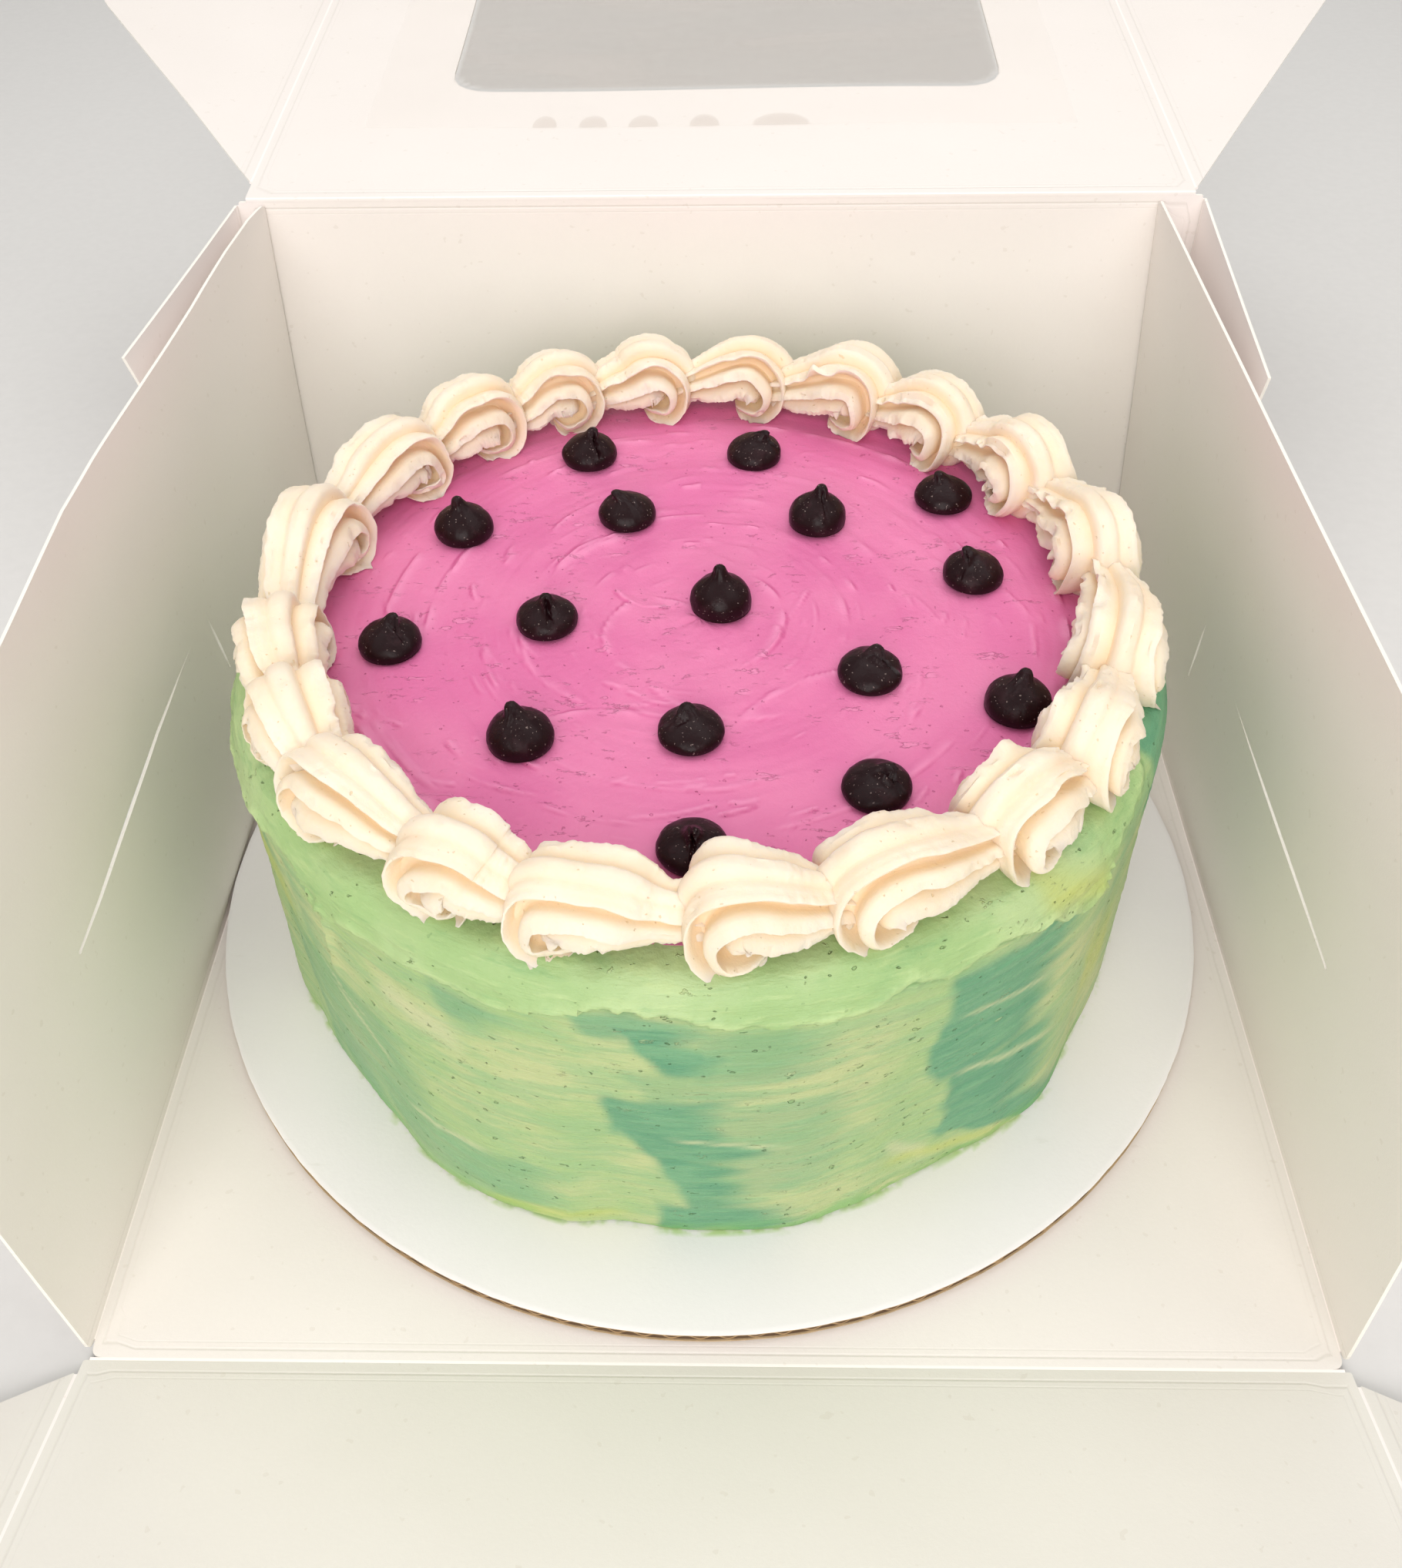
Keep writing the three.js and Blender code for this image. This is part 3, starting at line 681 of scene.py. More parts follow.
def iced_cake():
    segments = 720
    foot_z, rim_z, top_z = CAKE["foot_z"], CAKE["rim_z"], CAKE["top_z"]
    rows = [(0, foot_z), (70 * MM, foot_z), (CAKE["foot"] - 0.9 * MM, foot_z)]
    shoulder_rows = 22
    heights = [*np.linspace(foot_z + 0.5 * MM, 70.5 * MM, 62), *np.linspace(70.9 * MM, rim_z, 30)]
    for z in heights:
        share = (z - foot_z) / (rim_z - foot_z)
        rows.append((CAKE["foot"] + (CAKE["rim"] - CAKE["foot"]) * share, float(z)))
    for row in range(1, shoulder_rows + 1):
        turn = pi / 2 * row / shoulder_rows
        radius = CAKE["shoulder"] + (CAKE["rim"] - CAKE["shoulder"]) * cos(turn)
        rows.append((radius, rim_z + (top_z - rim_z) * sin(turn)))
    rows += [(94 * MM, top_z), (91 * MM, top_z), (88.3 * MM, top_z), (88.3 * MM, 87.2 * MM), (0, 87.2 * MM)]
    marks = {name: [0.0] for name in ICING_MARKS}

    def place(radius, angle, z):
        degrees = math.degrees(angle)
        height = z / MM
        low = 1 - ease(z - foot_z, top_z - foot_z)
        around = degrees * DEGREE_LENGTH
        scraped = 0.26 * rough(around / 34, height / 2.6, 1.0)
        scraped += 0.14 * rough(around / 14, height / 1.1, 4.0)
        dented = 0.55 * rough(around / 26, height / 22, 7.0)
        crumbly = 0.12 * rough(around / 1.6, height / 1.6, 9.0)
        lifted = 0.0
        for mark, lowest, highest, size in LIFT_MARKS:
            off = turn_between(degrees, mark + 0.03 * (height - lowest)) * DEGREE_LENGTH
            inside = ease(min(height - lowest, highest - height) + 3, 6)
            lifted += size * inside * exp(-max(off, off * -4) ** 2 / 2.2) if abs(off) < 6 else 0.0
        edge = read_off(BAND_EDGE, degrees) + 0.9 * rough(around / 3.2, 2.0, 1.5)
        edge += 0.5 * rough(around / 1.1, 5.0, 2.5)
        on_band = ease(height - edge + 0.35, 0.7)
        thick = 0.75 + 0.5 * rough(around / 12, 8.0, 3.5)
        lumpy = 0.4 * rough(around / 6, height / 3, 11.0) + 0.8
        lumpy += 0.3 * rough(around / 2.2, height / 1.3, 13.0)
        lip = thick * on_band * (lumpy + exp(-((height - edge - 0.8) / 1.2) ** 2))
        outside = z > foot_z and radius > CAKE["shoulder"] - 4 * MM
        push = (scraped + dented + crumbly + lifted + lip - 0.35) * MM if outside else 0.0
        reach = radius * (1 + low * (foot_radius(degrees) / CAKE["foot"] - 1))
        climb = ease(z - rim_z, top_z - rim_z)
        reach += push * (1 - climb)
        marks["teal"].append(patch_strength(degrees, height) * (1 - on_band * 0.92))
        marks["band"].append(on_band)
        torn_edge = 0.6 + rough(around / 9, 6.0, 4.5)
        # Painted shade along the underside of the band's ragged edge.
        marks["shade_under_edge"].append(torn_edge * exp(-((height - edge + 0.45) / 0.55) ** 2))
        # Painted highlight on the band's lip, just above its edge.
        marks["highlight_on_edge"].append(torn_edge * exp(-((height - edge - 0.9) / 0.9) ** 2))
        marks["streak"].append(streak_strength(degrees, height, PALE_STREAKS) * (1 - on_band))
        marks["yellow"].append(streak_strength(degrees, height, YELLOW_SMEARS))
        up = push * climb * 0.8 if outside else 0.0
        return on_cake(reach, angle, z + up)

    points, faces = revolved(rows, segments, (CAKE_X, CAKE_Y), place)
    for values in marks.values():
        values.append(0.0)
    finished_piece("iced_drum", points, faces, "carton", [green_finish()], marks, replaced="cake")


def green_finish():
    place = start_finish("green_buttercream")
    teal, band, streak, yellow, shade_under_edge, highlight_on_edge = [place.mark(name) for name in ICING_MARKS]
    clouds = speckle(place, 0.024, 3.0, 0.55, (1.3, 1.3, 0.8))
    smears = speckle(place, 0.008, 4.0, 0.6, (2.2, 2.2, 0.35))
    streaks = speckle(place, 0.0026, 4.0, 0.65, (3.6, 3.6, 0.4))
    grain = speckle(place, 0.0016, 3.0, 0.6)
    torn = between(speckle(place, 0.0034, 4.0, 0.7, (1.6, 1.6, 0.7)), 0.63, 0.68)
    torn = torn * between(clouds, 0.44, 0.56)
    pits = between(speckle(place, 0.0021, 2.0, 0.6, (1.4, 1.4, 0.8)), 0.69, 0.74)
    height = place.part(2)
    foot = (1 - between(height, 0.0045, 0.0105)) * between(smears, 0.38, 0.56)
    specks = between(speckle(place, 0.0014, 1.0), 0.74, 0.77)
    pale = mixed(between(clouds, 0.36, 0.64), (162, 190, 130), (187, 197, 143))
    pale = mixed(between(smears, 0.42, 0.62) * 0.6, pale, (146, 184, 132))
    pale = mixed(between(streaks, 0.50, 0.68) * 0.25, pale, (196, 204, 152))
    deep = mixed(between(smears, 0.36, 0.64), (95, 153, 117), (115, 167, 126))
    deep = mixed(between(streaks, 0.55, 0.70) * 0.3, deep, (134, 176, 132))
    mixed_greens = mixed(teal * (0.85 + smears * 0.4), pale, deep)
    mixed_greens = mixed(streak * 0.75, mixed_greens, (198, 203, 159))
    paler_band = mixed(between(clouds, 0.35, 0.65), (161, 192, 130), (177, 200, 145))
    paler_band = mixed(between(smears, 0.52, 0.72) * 0.6, paler_band, (130, 174, 116))
    paler_band = mixed(between(streaks, 0.52, 0.68) * 0.4, paler_band, (190, 210, 150))
    green = mixed(band, mixed_greens, paler_band)
    green = mixed(yellow * (0.35 + smears * 0.7), green, (193, 200, 112))
    # Painted shade under the band's edge.
    green = mixed(shade_under_edge * 0.55, green, (104, 146, 88))
    # Painted highlight on the band's lip.
    green = mixed(highlight_on_edge * 0.45, green, (198, 218, 160))
    green = mixed(foot * 0.5, green, (118, 176, 92))
    green = mixed(torn * 0.35, green, (200, 212, 158))
    # Painted shade in the pits.
    green = mixed(pits * 0.35, green, (92, 138, 68))
    green = mixed(specks * 0.25, green, (64, 112, 66))
    relief = grain * 0.5 + smears * 0.8 + streaks * 0.9 + torn * 0.6 - pits * 2.0
    return end_finish(place, green, 0.44 + grain * 0.16, 0.42, relief, 0.00045,
                      sunk_light(0.12, (1.0, 0.8, 0.4), 0.002))


iced_cake()

# Pink top
# A thin layer of pink buttercream spread inside the border with a palette knife while the cake turned: long
# curved strokes with raised lips, fine rings, small tears and pits.
PINK = {"radius": 88 * MM, "bottom": 87.5 * MM, "top": 89.3 * MM, "skirt": 92.4 * MM}

# Knife strokes: middle of the arc (x, y), its radius, start and end angle, height of the lip, its width on
# the soft side, all from the cake's middle in mm and degrees.
KNIFE_STROKES = [
    (-12, 10, 23, 100, 165, 0.55, 4.5), (-13, 11, 20, 95, 150, 0.35, 3.0),
    (-6, -6, 15, 120, 245, 0.40, 4.0), (0, 0, 71, 158, 182, 0.45, 5.0), (0, 0, 61, 150, 190, 0.30, 4.0),
    (0, -2, 78, 203, 232, 0.60, 5.5), (-4, 0, 72, 205, 240, 0.35, 4.0), (0, 0, 19, -60, 60, 0.40, 4.0),
    (2, 0, 31, -25, 50, 0.25, 5.0), (0, 0, 47, 20, 95, 0.22, 6.0), (-20, -50, 20, 60, 130, 0.35, 3.0),
    (40, -55, 38, 95, 150, 0.30, 4.0), (0, 0, 66, 280, 330, 0.28, 5.0), (0, 0, 54, 230, 285, 0.22, 5.0),
    (0, 0, 80, 40, 88, 0.35, 4.0), (0, 0, 76, 95, 140, 0.30, 5.0), (4, 4, 40, 100, 170, 0.22, 5.0),
    (-6, 4, 37, 185, 240, 0.26, 4.0), (0, 0, 82, 330, 372, 0.40, 4.0), (10, -8, 25, 210, 300, 0.30, 4.0),
    (-10, 14, 10, 190, 300, 0.30, 2.5),
]


def knife_relief(x, y):
    """How high the pink surface stands, in mm, at x and y in mm from the cake's middle."""
    radius = hypot(x, y)
    angle = math.degrees(math.atan2(y, x))
    swirl = angle / 57.3 + radius / 30
    drift = 0.6 * rough(x / 20, y / 20, 2)
    rings = 0.18 * rough(radius / 1.5 + drift, cos(swirl) * 2.2, sin(swirl) * 2.2)
    wide = 0.6 * rough(radius / 11, cos(swirl) * 1.6, sin(swirl) * 1.6 + 5)
    return rings + wide + 0.05 * rough(x / 1.1, y / 1.1, 8)


def stroke_lips(x, y, strokes):
    """Height of the strokes' lips at a point, and how strong the painted shade is in the crease just outside
    them.
    """
    total, crease = 0.0, 0.0
    for cx, cy, radius, start, end, height, width in strokes:
        dx, dy = x - cx, y - cy
        off = hypot(dx, dy) - radius
        if -width < off < 1.8:
            share = ((math.degrees(math.atan2(dy, dx)) - start) % 360) / (end - start)
            if share < 1:
                ends = ease(min(share, 1 - share), 0.2)
                run = share * (end - start) * radius / 400
                wander = min(max(0.6 + rough(run, radius, start), 0.1), 1)
                lip = (1 - ease(off, 0.7)) if off > 0 else (1 + off / width) ** 2
                total += 1.9 * height * ends * lip * wander
                crease += 2.5 * height * ends * wander * exp(-((off - 0.75) / 0.5) ** 2)
    return total, crease


def pink_top():
    chance = random.Random(12)
    small_strokes = []
    for _ in range(270):
        away = 80 * sqrt(chance.random())
        turn = chance.uniform(0, 360)
        bend = chance.uniform(4, 45)
        start = turn + chance.uniform(-30, 30)
        middle = (away - bend) if chance.random() < 0.75 else (away + bend)
        small_strokes.append((middle * cos(radians(turn)), middle * sin(radians(turn)), bend,
                              start, start + chance.uniform(12, 40), chance.uniform(0.10, 0.36),
                              chance.uniform(0.9, 3)))
    segments, row_count = 520, 122
    rows = [(0, PINK["bottom"]), (PINK["radius"], PINK["bottom"]), (PINK["radius"], PINK["top"] - 0.07 * MM),
            (PINK["skirt"], PINK["top"] - 0.07 * MM)]
    rows += [(PINK["skirt"] * (1 - row / row_count) ** 0.9, PINK["top"]) for row in range(row_count)]
    rows.append((0, PINK["top"]))
    lips, crease_shades = [0.0], [0.0]

    def place(radius, angle, z):
        x, y = radius * cos(angle) / MM, radius * sin(angle) / MM
        height, lip, crease = 0.0, 0.0, 0.0
        if z >= PINK["top"]:
            lip, crease = stroke_lips(x, y, KNIFE_STROKES + small_strokes)
            edge = ease(PINK["radius"] - radius, 3 * MM)
            height = (knife_relief(x, y) + lip - 0.30) * edge
        lips.append(lip)
        crease_shades.append(crease)
        return on_cake(radius, angle, z + height * MM)

    points, faces = revolved(rows, segments, (CAKE_X, CAKE_Y), place)
    marks = {"lip": [*lips, 0.0], "crease": [*crease_shades, 0.0]}
    finished_piece("spread_top", points, faces, "carton", [pink_finish()], marks, replaced="pink_icing")


def pink_finish():
    place = start_finish("pink_buttercream")
    lip, crease = place.mark("lip"), place.mark("crease")
    clouds = speckle(place, 0.03, 3.0, 0.5)
    grain = speckle(place, 0.0013, 3.0, 0.6)
    patchy = between(speckle(place, 0.012, 2.0, 0.5), 0.46, 0.58)
    torn = between(speckle(place, 0.0036, 4.0, 0.7, (2.0, 0.7, 1)), 0.60, 0.645) * patchy
    hollow = between(speckle(place, 0.0034, 4.0, 0.7, (2.0, 0.7, 1)), 0.645, 0.70) * patchy
    pits = between(speckle(place, 0.0015, 2.0), 0.725, 0.765)
    pink = mixed(between(clouds, 0.35, 0.65), (224, 124, 169), (217, 110, 161))
    # Painted highlight along the knife strokes' raised lips.
    pink = mixed(between(lip, 0.05, 0.5) * 0.5, pink, (237, 152, 191))
    # Painted shade in the crease just outside each lip.
    pink = mixed(between(crease, 0.1, 0.8) * 0.7, pink, (200, 82, 138))
    pink = mixed(torn * 0.4, pink, (235, 146, 186))
    # Painted shade in the small hollows and the pits.
    pink = mixed(hollow * 0.25, pink, (206, 88, 144))
    pink = mixed(pits * 0.35, pink, (190, 70, 126))
    roughness = 0.42 + grain * 0.16
    relief = grain * 0.5 + torn * 0.9 - hollow * 0.8 - pits * 1.1
    return end_finish(place, pink, roughness, 0.42, relief, 0.0003, sunk_light(0.12, (1.0, 0.5, 0.7), 0.002))


pink_top()

# Piped border
# Twenty shells of cream buttercream from a large star nozzle. The rope of icing starts low, curls back over
# itself into a fat nose, and is pulled off along the border under the next shell. Its ridges fold into lips.
SHELL_STARTS = [
    270, 286.5, 307, 323, 341, 364, 385, 403, 419, 436.5, 453, 469, 484, 500, 522, 547, 563, 577, 597,
    610.5,
]
BORDER_RADIUS = 91.4
SHELL_OVERLAP = 7
TOP_LEVEL = 89.5

# The rope's middle line in the upright plane along the border (mm along, mm up) and its radius there.
ROPE = [
    (17, 3.4, 3.2), (12.5, 3.0, 5.0), (8.6, 4.2, 6.4), (7.2, 7.4, 7.4), (9.8, 10.6, 8.0),
    (14.5, 11.2, 7.8), (20, 10.0, 7.1), (26, 8.1, 6.0), (31.5, 6.5, 5.0), (37, 4.8, 3.8),
]

# The star section's lips on each side, from its broad top round to its foot: degrees from the top, how deep
# the hollow is that the lip hangs over, as a share of the radius, and how far it is undercut, in degrees.
LIPS = [(50, 0.48, 9), (92, 0.54, 9), (132, 0.42, 6)]


def star_section():
    """Half of the section: turn in degrees and radius, each lip's thin edge overhanging a scooped hollow."""
    half = [(0, 1.01), (6, 1.0), (11, 0.96), (15, 0.88), (18.5, 0.79), (21, 0.75), (24, 0.77), (29, 0.87),
            (35, 0.96), (41, 1.01)]
    start, floor = 0, 0.0
    for turn, depth, under in LIPS:
        if start:
            for share, fill in ((0.10, 0.05), (0.24, 0.26), (0.38, 0.54), (0.54, 0.78), (0.75, 0.94)):
                half.append((start + (turn - 8 - start) * share, 1 - floor * (1 - fill)))
        flare = 0.2 * depth
        half += [(turn - 8, 1 + 0.3 * flare), (turn - 3, 1 + 0.8 * flare), (turn - 0.5, 1 + flare),
                 (turn + 1, 1 + 0.6 * flare), (turn - 0.3 * under, 1 - 0.3 * depth),
                 (turn - under, 1 - 0.62 * depth), (turn - 0.6 * under + 2, 1 - 0.93 * depth),
                 (turn + 6, 1 - depth)]
        start, floor = turn + 9, depth
    return half + [(150, 0.72), (162, 0.86), (174, 0.9)]


def through(table, count):
    """count points, evenly spaced, on a smooth curve through the table's rows."""
    rows = np.array(table, dtype=float)
    rows = np.vstack([2 * rows[0] - rows[1], rows, 2 * rows[-1] - rows[-2]])
    fine = []
    for i in range(1, len(rows) - 2):
        before, start, end, after = rows[i - 1:i + 3]
        for t in np.linspace(0, 1, 24, endpoint=False):
            square, cube = 2 * before - 5 * start + 4 * end - after, 3 * start - before - 3 * end + after
            fine.append(0.5 * (2 * start + (end - before) * t + square * t ** 2 + cube * t ** 3))
    fine.append(rows[-2])
    fine = np.array(fine)
    length = np.concatenate([[0], np.cumsum(np.linalg.norm(np.diff(fine[:, :2], axis=0), axis=1))])
    at = np.linspace(0, length[-1], count)
    return np.stack([np.interp(at, length, fine[:, k]) for k in range(rows.shape[1])], axis=1)


def cake_surface(radius):
    """Height of the cake's top and shoulder under the border, in mm."""
    over = min(max((radius - 97.3) / 6.9, 0.0), 1.0)
    return 80.7 + 8.5 * sqrt(max(1 - over * over, 0.0)) if radius > 97.3 else 89.2


def piped_shell(number, start, length):
    pick = random.Random(400 + number).uniform
    stretch = length - 37
    size = pick(0.96, 1.05)
    twist = radians(pick(-19, 12))
    veer = pick(-0.06, 0.06)
    depths = {1: pick(0.85, 1.2), -1: pick(0.92, 1.25)}
    width = pick(0.75, 1.2)
    frilled = 1.0 if 300 < start < 420 else 0.45
    stations = 92
    rope = [(run + pick(-0.7, 0.7), rise + pick(-0.5, 0.5), fat * pick(0.94, 1.07))
            for run, rise, fat in ROPE[:7]]
    line = through(rope + ROPE[7:], stations)
    along = line[:, 0] + stretch * np.array([ease(s - 9, 28) for s in line[:, 0]])
    up = line[:, 1] * size
    direction = np.stack([np.gradient(along), np.gradient(up)], axis=1)
    direction /= np.linalg.norm(direction, axis=1)[:, None]
    section = [(radians(turn), reach) for turn, reach in star_section()]
    section += [(-turn, reach) for turn, reach in reversed(section[1:])]
    points, groove_shades = [], []
    for station in range(stations):
        share = station / (stations - 1)
        tail = ease(share - 0.45, 0.55)
        start_cap = sqrt(max(1 - max(1 - share / 0.05, 0) ** 2, 0))
        end_cap = sqrt(max(1 - max((share - 0.95) / 0.05, 0) ** 2, 0))
        radius = line[station, 2] * size * max(min(start_cap, end_cap), 0.02)
        tx, tz = direction[station]
        for turn, reach in section:
            hand = 1 if turn >= 0 else -1
            depth = (1 - reach) * depths[hand] * (1.05 - 0.25 * tail)
            depth *= 0.55 if 0 < turn < 0.65 else 1
            ripple = 1 + 0.035 * rough(share * 5, round(turn * 2) * 3.7, number * 9.1)
            r = radius * (1 - depth) * ripple
            bent = turn + twist * (0.3 + share)
            r += 0.16 * rough(share * 34, turn * 5, number * 5.3) * (1.2 - depth * 2)
            if reach > 1.0:
                r += 0.24 * rough(share * 90, turn * 2, number * 1.7)
                torn = rough(share * 13, turn * 1.5, number * 2.9)
                r -= 2.2 * max(torn - 0.24, 0)
                frill = rough(along[station] / 4.3, hand * 3.1, number * 4.3 + round(turn, 1))
                frill *= frilled * (1.35 if hand < 0 else 0.7)
                r += 1.5 * frill * ease(share - 0.1, 0.2)
                bent += 0.17 * frill
            out = r * cos(bent)
            side = r * sin(bent)
            s = along[station] - tz * out
            z = up[station] + tx * out
            fan = (1 - ease(z, 15)) * (1 - ease(s - 14, 16))
            side *= (1.18 if side > 0 else 1.32) + (1.1 if side > 0 else 0.9) * fan * width
            side = 13.5 * math.tanh(side / 13.5) + veer * (s - 18) - 0.8
            floor = cake_surface(BORDER_RADIUS + side) - TOP_LEVEL
            low = 1 - ease(z - floor, 3.0)
            ragged = rough(s / 1.5, side / 1.8, number * 3.3)
            side += math.copysign(low * (0.3 + 3.6 * max(ragged, 0) ** 1.5), side) if abs(side) > 3 else 0.0
            around = BORDER_RADIUS + side
            drop = cake_surface(around) - TOP_LEVEL
            z = max(z + 0.7 * drop * (1 - ease(z, 12)), drop - 0.3)
            angle = radians(start) + (s - 3) / BORDER_RADIUS
            points.append(on_cake(around * MM, angle, (TOP_LEVEL + z) * MM))
            groove_shades.append(min(max(depth, 0) * 3, 1.0))
    faces = rope_faces(stations, len(section))
    name = f"piped_shell_{number:02d}"
    finished_piece(name, points, faces, "carton", [cream_icing], {"groove_shade": groove_shades}, None, "piped_border")


def cream_finish():
    place = start_finish("cream_buttercream")
    groove_shade = place.mark("groove_shade")
    clouds = speckle(place, 0.012, 2.0, 0.5)
    grain = speckle(place, 0.0009, 3.0, 0.6)
    pits = between(speckle(place, 0.0011, 1.0), 0.74, 0.78)
    cream = mixed(between(clouds, 0.35, 0.65), (241, 227, 208), (239, 222, 199))
    # Painted shade: the hollows between the lips are tinted warm yellow, as shaded cream.
    cream = mixed(groove_shade * 0.6, cream, (248, 220, 178))
    # Painted shade in the pits.
    cream = mixed(pits * 0.4, cream, (225, 190, 140))
    return end_finish(place, cream, 0.46 + grain * 0.14, 0.4, grain * 0.5 - pits * 0.8, 0.0002,
                      sunk_light(0.35, (1.0, 0.78, 0.45), 0.0035))


cream_icing = cream_finish()
for number, start in enumerate(SHELL_STARTS):
    following = SHELL_STARTS[number + 1] if number + 1 < len(SHELL_STARTS) else SHELL_STARTS[0] + 360
    piped_shell(number + 1, start, radians(following - start) * BORDER_RADIUS + SHELL_OVERLAP)

# Chocolate chips
# Sixteen large dark chips, dropped from a nozzle so that each has a round belly and a thin tip that fell
# over or was pressed flat. They sit on the pink icing, a little dusty from the bag.
CHIP_RADIUS = 7

# Each chip: x and y from the cake's middle, height, how far its tip is bent and in which direction, and the
# direction and depth of the crease where it was pressed, in mm and degrees.
CHIPS = [
    (-29, 64, 10, 1.2, 20, 300, 0.9), (13, 64, 9.5, 2.6, 0, 340, 0.8), (-57, 32, 11.5, 1, 150, 250, 0.2),
    (-18, 38, 9.5, 2.4, 180, 300, 0.3), (28, 36, 12, 0.8, 20, 290, 0.5), (59.3, 45, 9, 1.6, 150, 220, 0.3),
    (63, 14, 9.5, 2.2, 150, 235, 0.7), (-34, -2, 8.5, 0.8, 80, 285, 1.3), (5, 4, 12.5, 0.6, 120, 200, 0.2),
    (-68, -10, 9, 2.2, 60, 320, 0.6), (37, -20, 8.2, 2.4, 60, 330, 1.1), (67, -30, 11, 1.8, 60, 200, 0.4),
    (-36, -40, 11, 2, 130, 230, 0.5), (-1, -38, 7.8, 2.4, 110, 200, 1.0), (36, -54, 7.8, 2.6, 20, 320, 1.2),
    (0, -70, 8.5, 1, 270, 272, 1.4),
]
CHIP_PROFILE = [
    (0.02, 0.0), (0.88, 0.0), (0.98, 0.07), (1.0, 0.17), (0.96, 0.29), (0.86, 0.41), (0.70, 0.52),
    (0.51, 0.62), (0.34, 0.71), (0.25, 0.80), (0.20, 0.89), (0.14, 0.965), (0.01, 1.0),
]


def chocolate_finish():
    place = start_finish("dark_chocolate")
    bloom = between(speckle(place, 0.004, 3.0, 0.6), 0.50, 0.72)
    dust = between(speckle(place, 0.00055, 1.0), 0.70, 0.74)
    grain = speckle(place, 0.0012, 3.0, 0.6)
    brown = mixed(bloom * 0.55, (29, 8, 12), (50, 26, 31))
    brown = mixed(dust * 0.45, brown, (172, 154, 148))
    roughness = 0.36 + bloom * 0.16 + dust * 0.2
    return end_finish(place, brown, roughness, 0.18, grain * 0.5 + bloom * 0.6, 0.00015)


def chocolate_chip(number, x, y, height, bend, towards, fold, cut):
    segments = 60
    height, seed = height * 0.88, 30 + number
    towards, fold = radians(towards), radians(fold)
    profile = through([(r * CHIP_RADIUS, z * height) for r, z in CHIP_PROFILE], 46)
    rows = [(0, 0.0), *[(r * MM, z * MM) for r, z in profile], (0, height * MM)]
    centre = Vector((CAKE_X + x * MM, CAKE_Y + y * MM, TOP_LEVEL * MM))

    def place(radius, angle, z):
        share = z / MM / height
        r = radius / MM
        off = (angle - fold + pi) % (2 * pi) - pi
        window = ease(share - 0.22, 0.25) * (1 - 0.6 * ease(share - 0.8, 0.2))
        width = 0.34 / max(r, 1.2)
        pressed = exp(-(off / width) ** 2) - 0.45 * exp(-((abs(off) / width - 1.8) / 0.8) ** 2)
        r -= cut * window * pressed * min(r / 2.2, 1)
        side = Vector((cos(angle), sin(angle), share * 1.4))
        r *= 1 + 0.045 * noise.noise(side * 1.6 + Vector((seed, 0, 0))) * min(share * 6, 1)
        lean = bend * (0.25 * ease(share, 1) + 0.75 * ease(share - 0.6, 0.34))
        lump = 0.12 * noise.noise(side * 4.0 + Vector((0, seed, 0))) * min(share * 5, 1)
        x = (r + lump) * cos(angle) + lean * cos(towards)
        y = (r + lump) * sin(angle) + lean * sin(towards)
        droop = 0.3 * bend * ease(share - 0.75, 0.25)
        run = x * cos(fold) + y * sin(fold)
        aside = y * cos(fold) - x * sin(fold)
        crest = exp(-((aside + 0.5) / 0.5) ** 2) - exp(-((aside - 0.5) / 0.5) ** 2)
        crest *= ease(run + 0.5, 1.5) * (1 - ease(run - 2.6, 2.2)) * ease(share - 0.3, 0.2)
        raised = 0.65 * cut * crest - droop
        return centre + Vector((x * MM, y * MM, z + raised * MM))

    points, faces = revolved(rows, segments, (centre.x, centre.y), place)
    points[0] = centre.copy()
    points[-1] = centre + Vector((bend * cos(towards), bend * sin(towards), height - 0.3 * bend)) * MM
    finished_piece(f"dark_chip_{number:02d}", points, faces, "carton", [chocolate],
                   replaced=f"chip_{number:02d}")


chocolate = chocolate_finish()
for number, chip in enumerate(CHIPS):
    chocolate_chip(number + 1, *chip)

# Studio
# A plain pale floor, a large soft light overhead and a weaker one from the front, and a camera at the
# photograph's angle.
def floor_finish():
    place = start_finish("studio_floor")
    grain = speckle(place, 0.004, 3.0, 0.5)
    pale = mixed(grain, (222, 221, 219), (216, 215, 213))
    return end_finish(place, pale, 0.8, 0.5, grain, 0.0001)


def studio_floor():
    half, drop = 2.6, -1 * MM
    mesh = bpy.data.meshes.new("studio_floor")
    corners = [(-half, -half, drop), (half, -half, drop), (half, half, drop), (-half, half, drop)]
    mesh.from_pydata(corners, [], [(0, 1, 2, 3)])
    mesh.materials.append(floor_finish())
    placed("studio_floor", mesh)


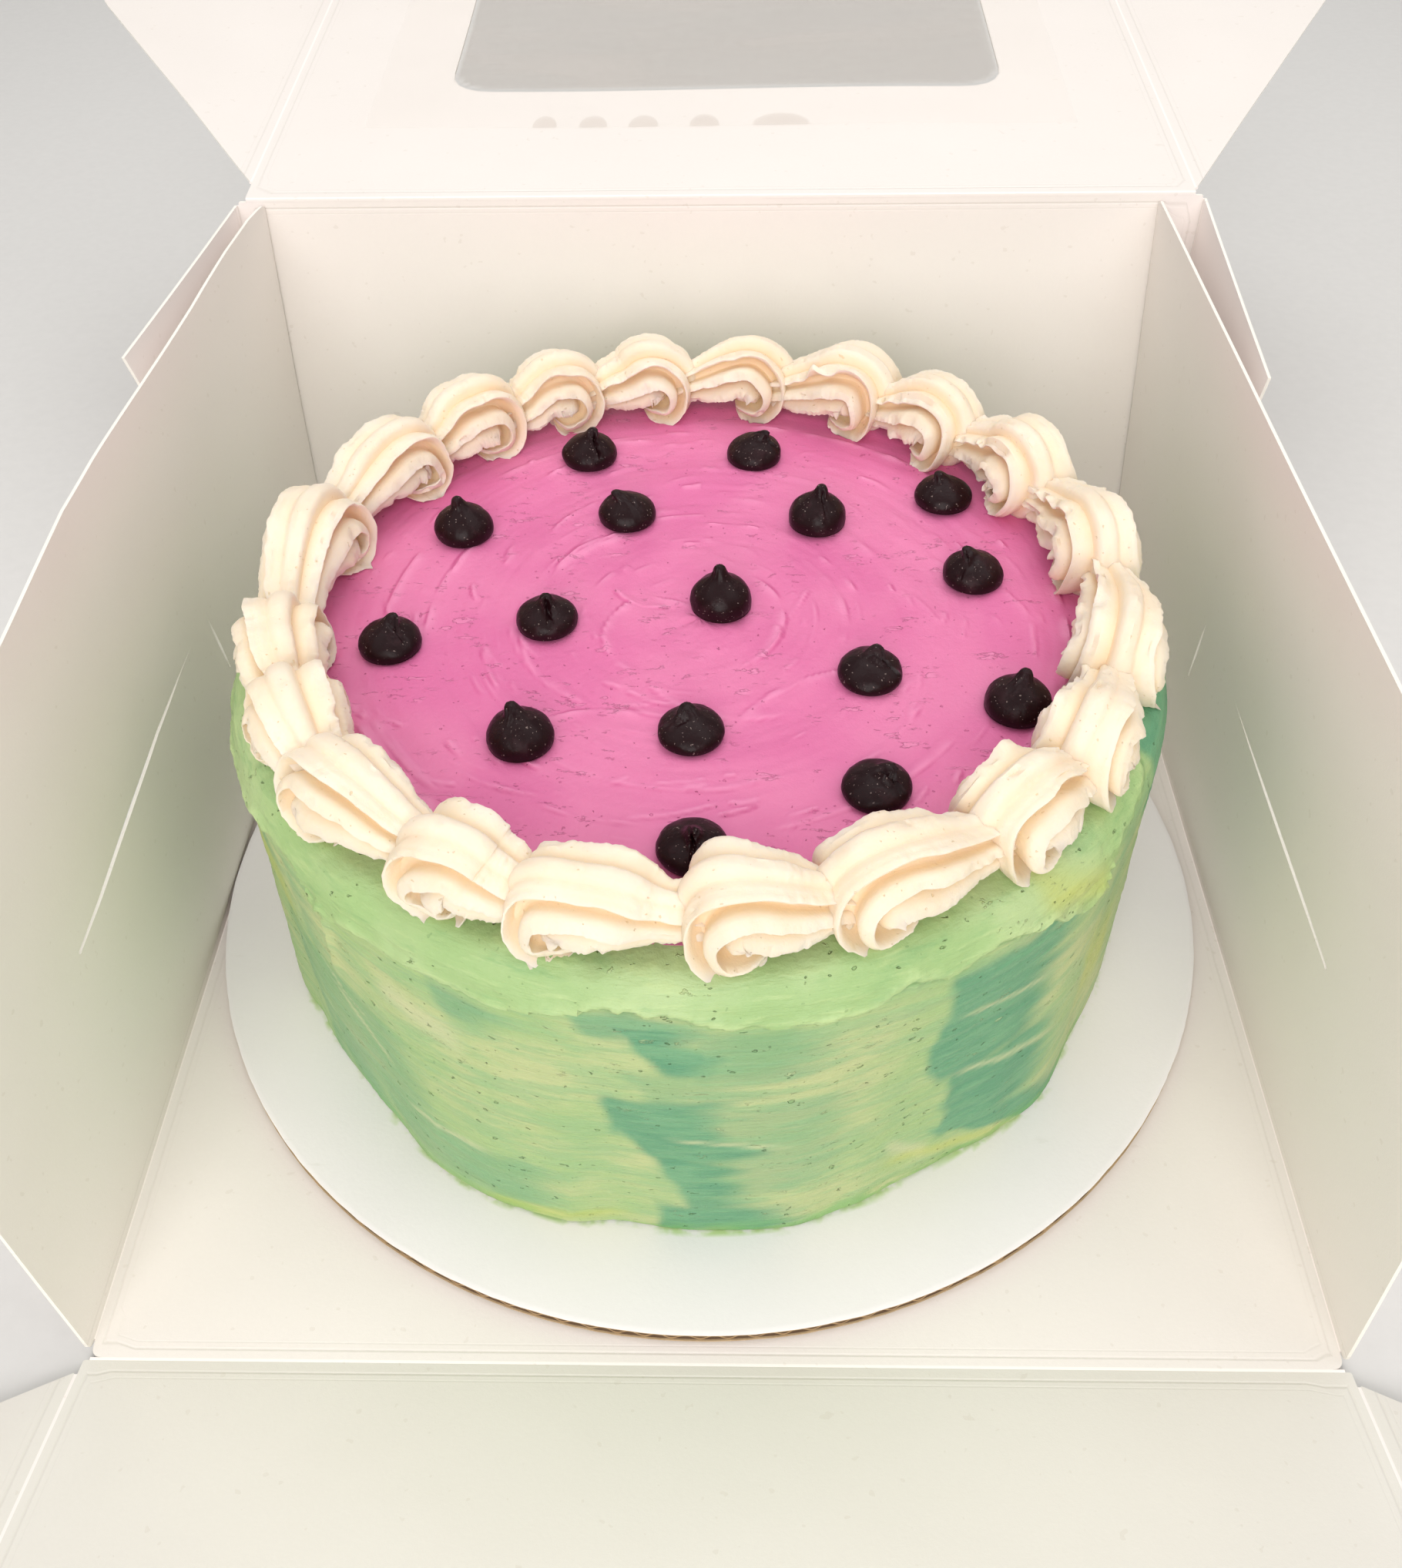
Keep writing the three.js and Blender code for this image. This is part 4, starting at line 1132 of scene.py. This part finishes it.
def soft_light(name, place, aim, size, power, colour):
    light = bpy.data.lights.new(name, "AREA")
    light.shape = "DISK"
    light.size = size
    light.energy = power
    light.color = colour
    lamp = placed(name, light)
    lamp.location = place
    lamp.rotation_euler = (Vector(aim) - Vector(place)).to_track_quat("-Z", "Y").to_euler()


studio_floor()
soft_light("overhead_light", (0.05, 0.5, 1.35), (0, 0.1, 0.05), 1.3, 8.0, (1.0, 0.985, 0.965))
soft_light("front_light", (-0.1, -1.3, 0.6), (0, 0, 0.08), 1.1, 7.9, (1.0, 0.975, 0.95))
soft_light("high_front_light", (-0.1, -1.1, 0.9), (0, 0, 0.08), 1.1, 6.5, (1.0, 0.975, 0.95))
soft_light("left_light", (-0.75, -0.1, 1.15), (0.05, 0, 0.06), 0.9, 1.8, (1.0, 0.97, 0.945))
soft_light("right_light", (0.75, -0.1, 1.15), (-0.05, 0, 0.06), 0.9, 2.6, (1.0, 0.97, 0.945))

world = bpy.data.worlds.new("studio_surround")
world.use_nodes = True
surround = world.node_tree.nodes["Background"]
surround.inputs["Color"].default_value = (1.0, 0.99, 0.975, 1.0)
surround.inputs["Strength"].default_value = 0.4
bpy.context.scene.world = world
bpy.context.scene.view_settings.view_transform = "Standard"

LENS_IN_PIXELS, PHOTO_HEIGHT = 1821, 2036
camera_data = bpy.data.cameras.new("photo_camera")
camera_data.sensor_width = 36
camera_data.lens = LENS_IN_PIXELS / PHOTO_HEIGHT * 36
camera_data.clip_start = 0.01
pitch, yaw, roll = (radians(angle) for angle in (46.13, -1.75, -1.19))
forward = Vector((sin(yaw) * cos(pitch), cos(yaw) * cos(pitch), -sin(pitch)))
level = Vector((cos(yaw), -sin(yaw), 0))
upright = level.cross(forward)
right_hand = cos(roll) * level + sin(roll) * upright
upward = -sin(roll) * level + cos(roll) * upright
camera = placed("photo_camera", camera_data)
turn = Matrix((right_hand, upward, -forward)).transposed().to_4x4()
camera.matrix_world = Matrix.Translation(Vector((3.8, -244.5, 290.9)) * MM) @ turn
bpy.context.scene.camera = camera
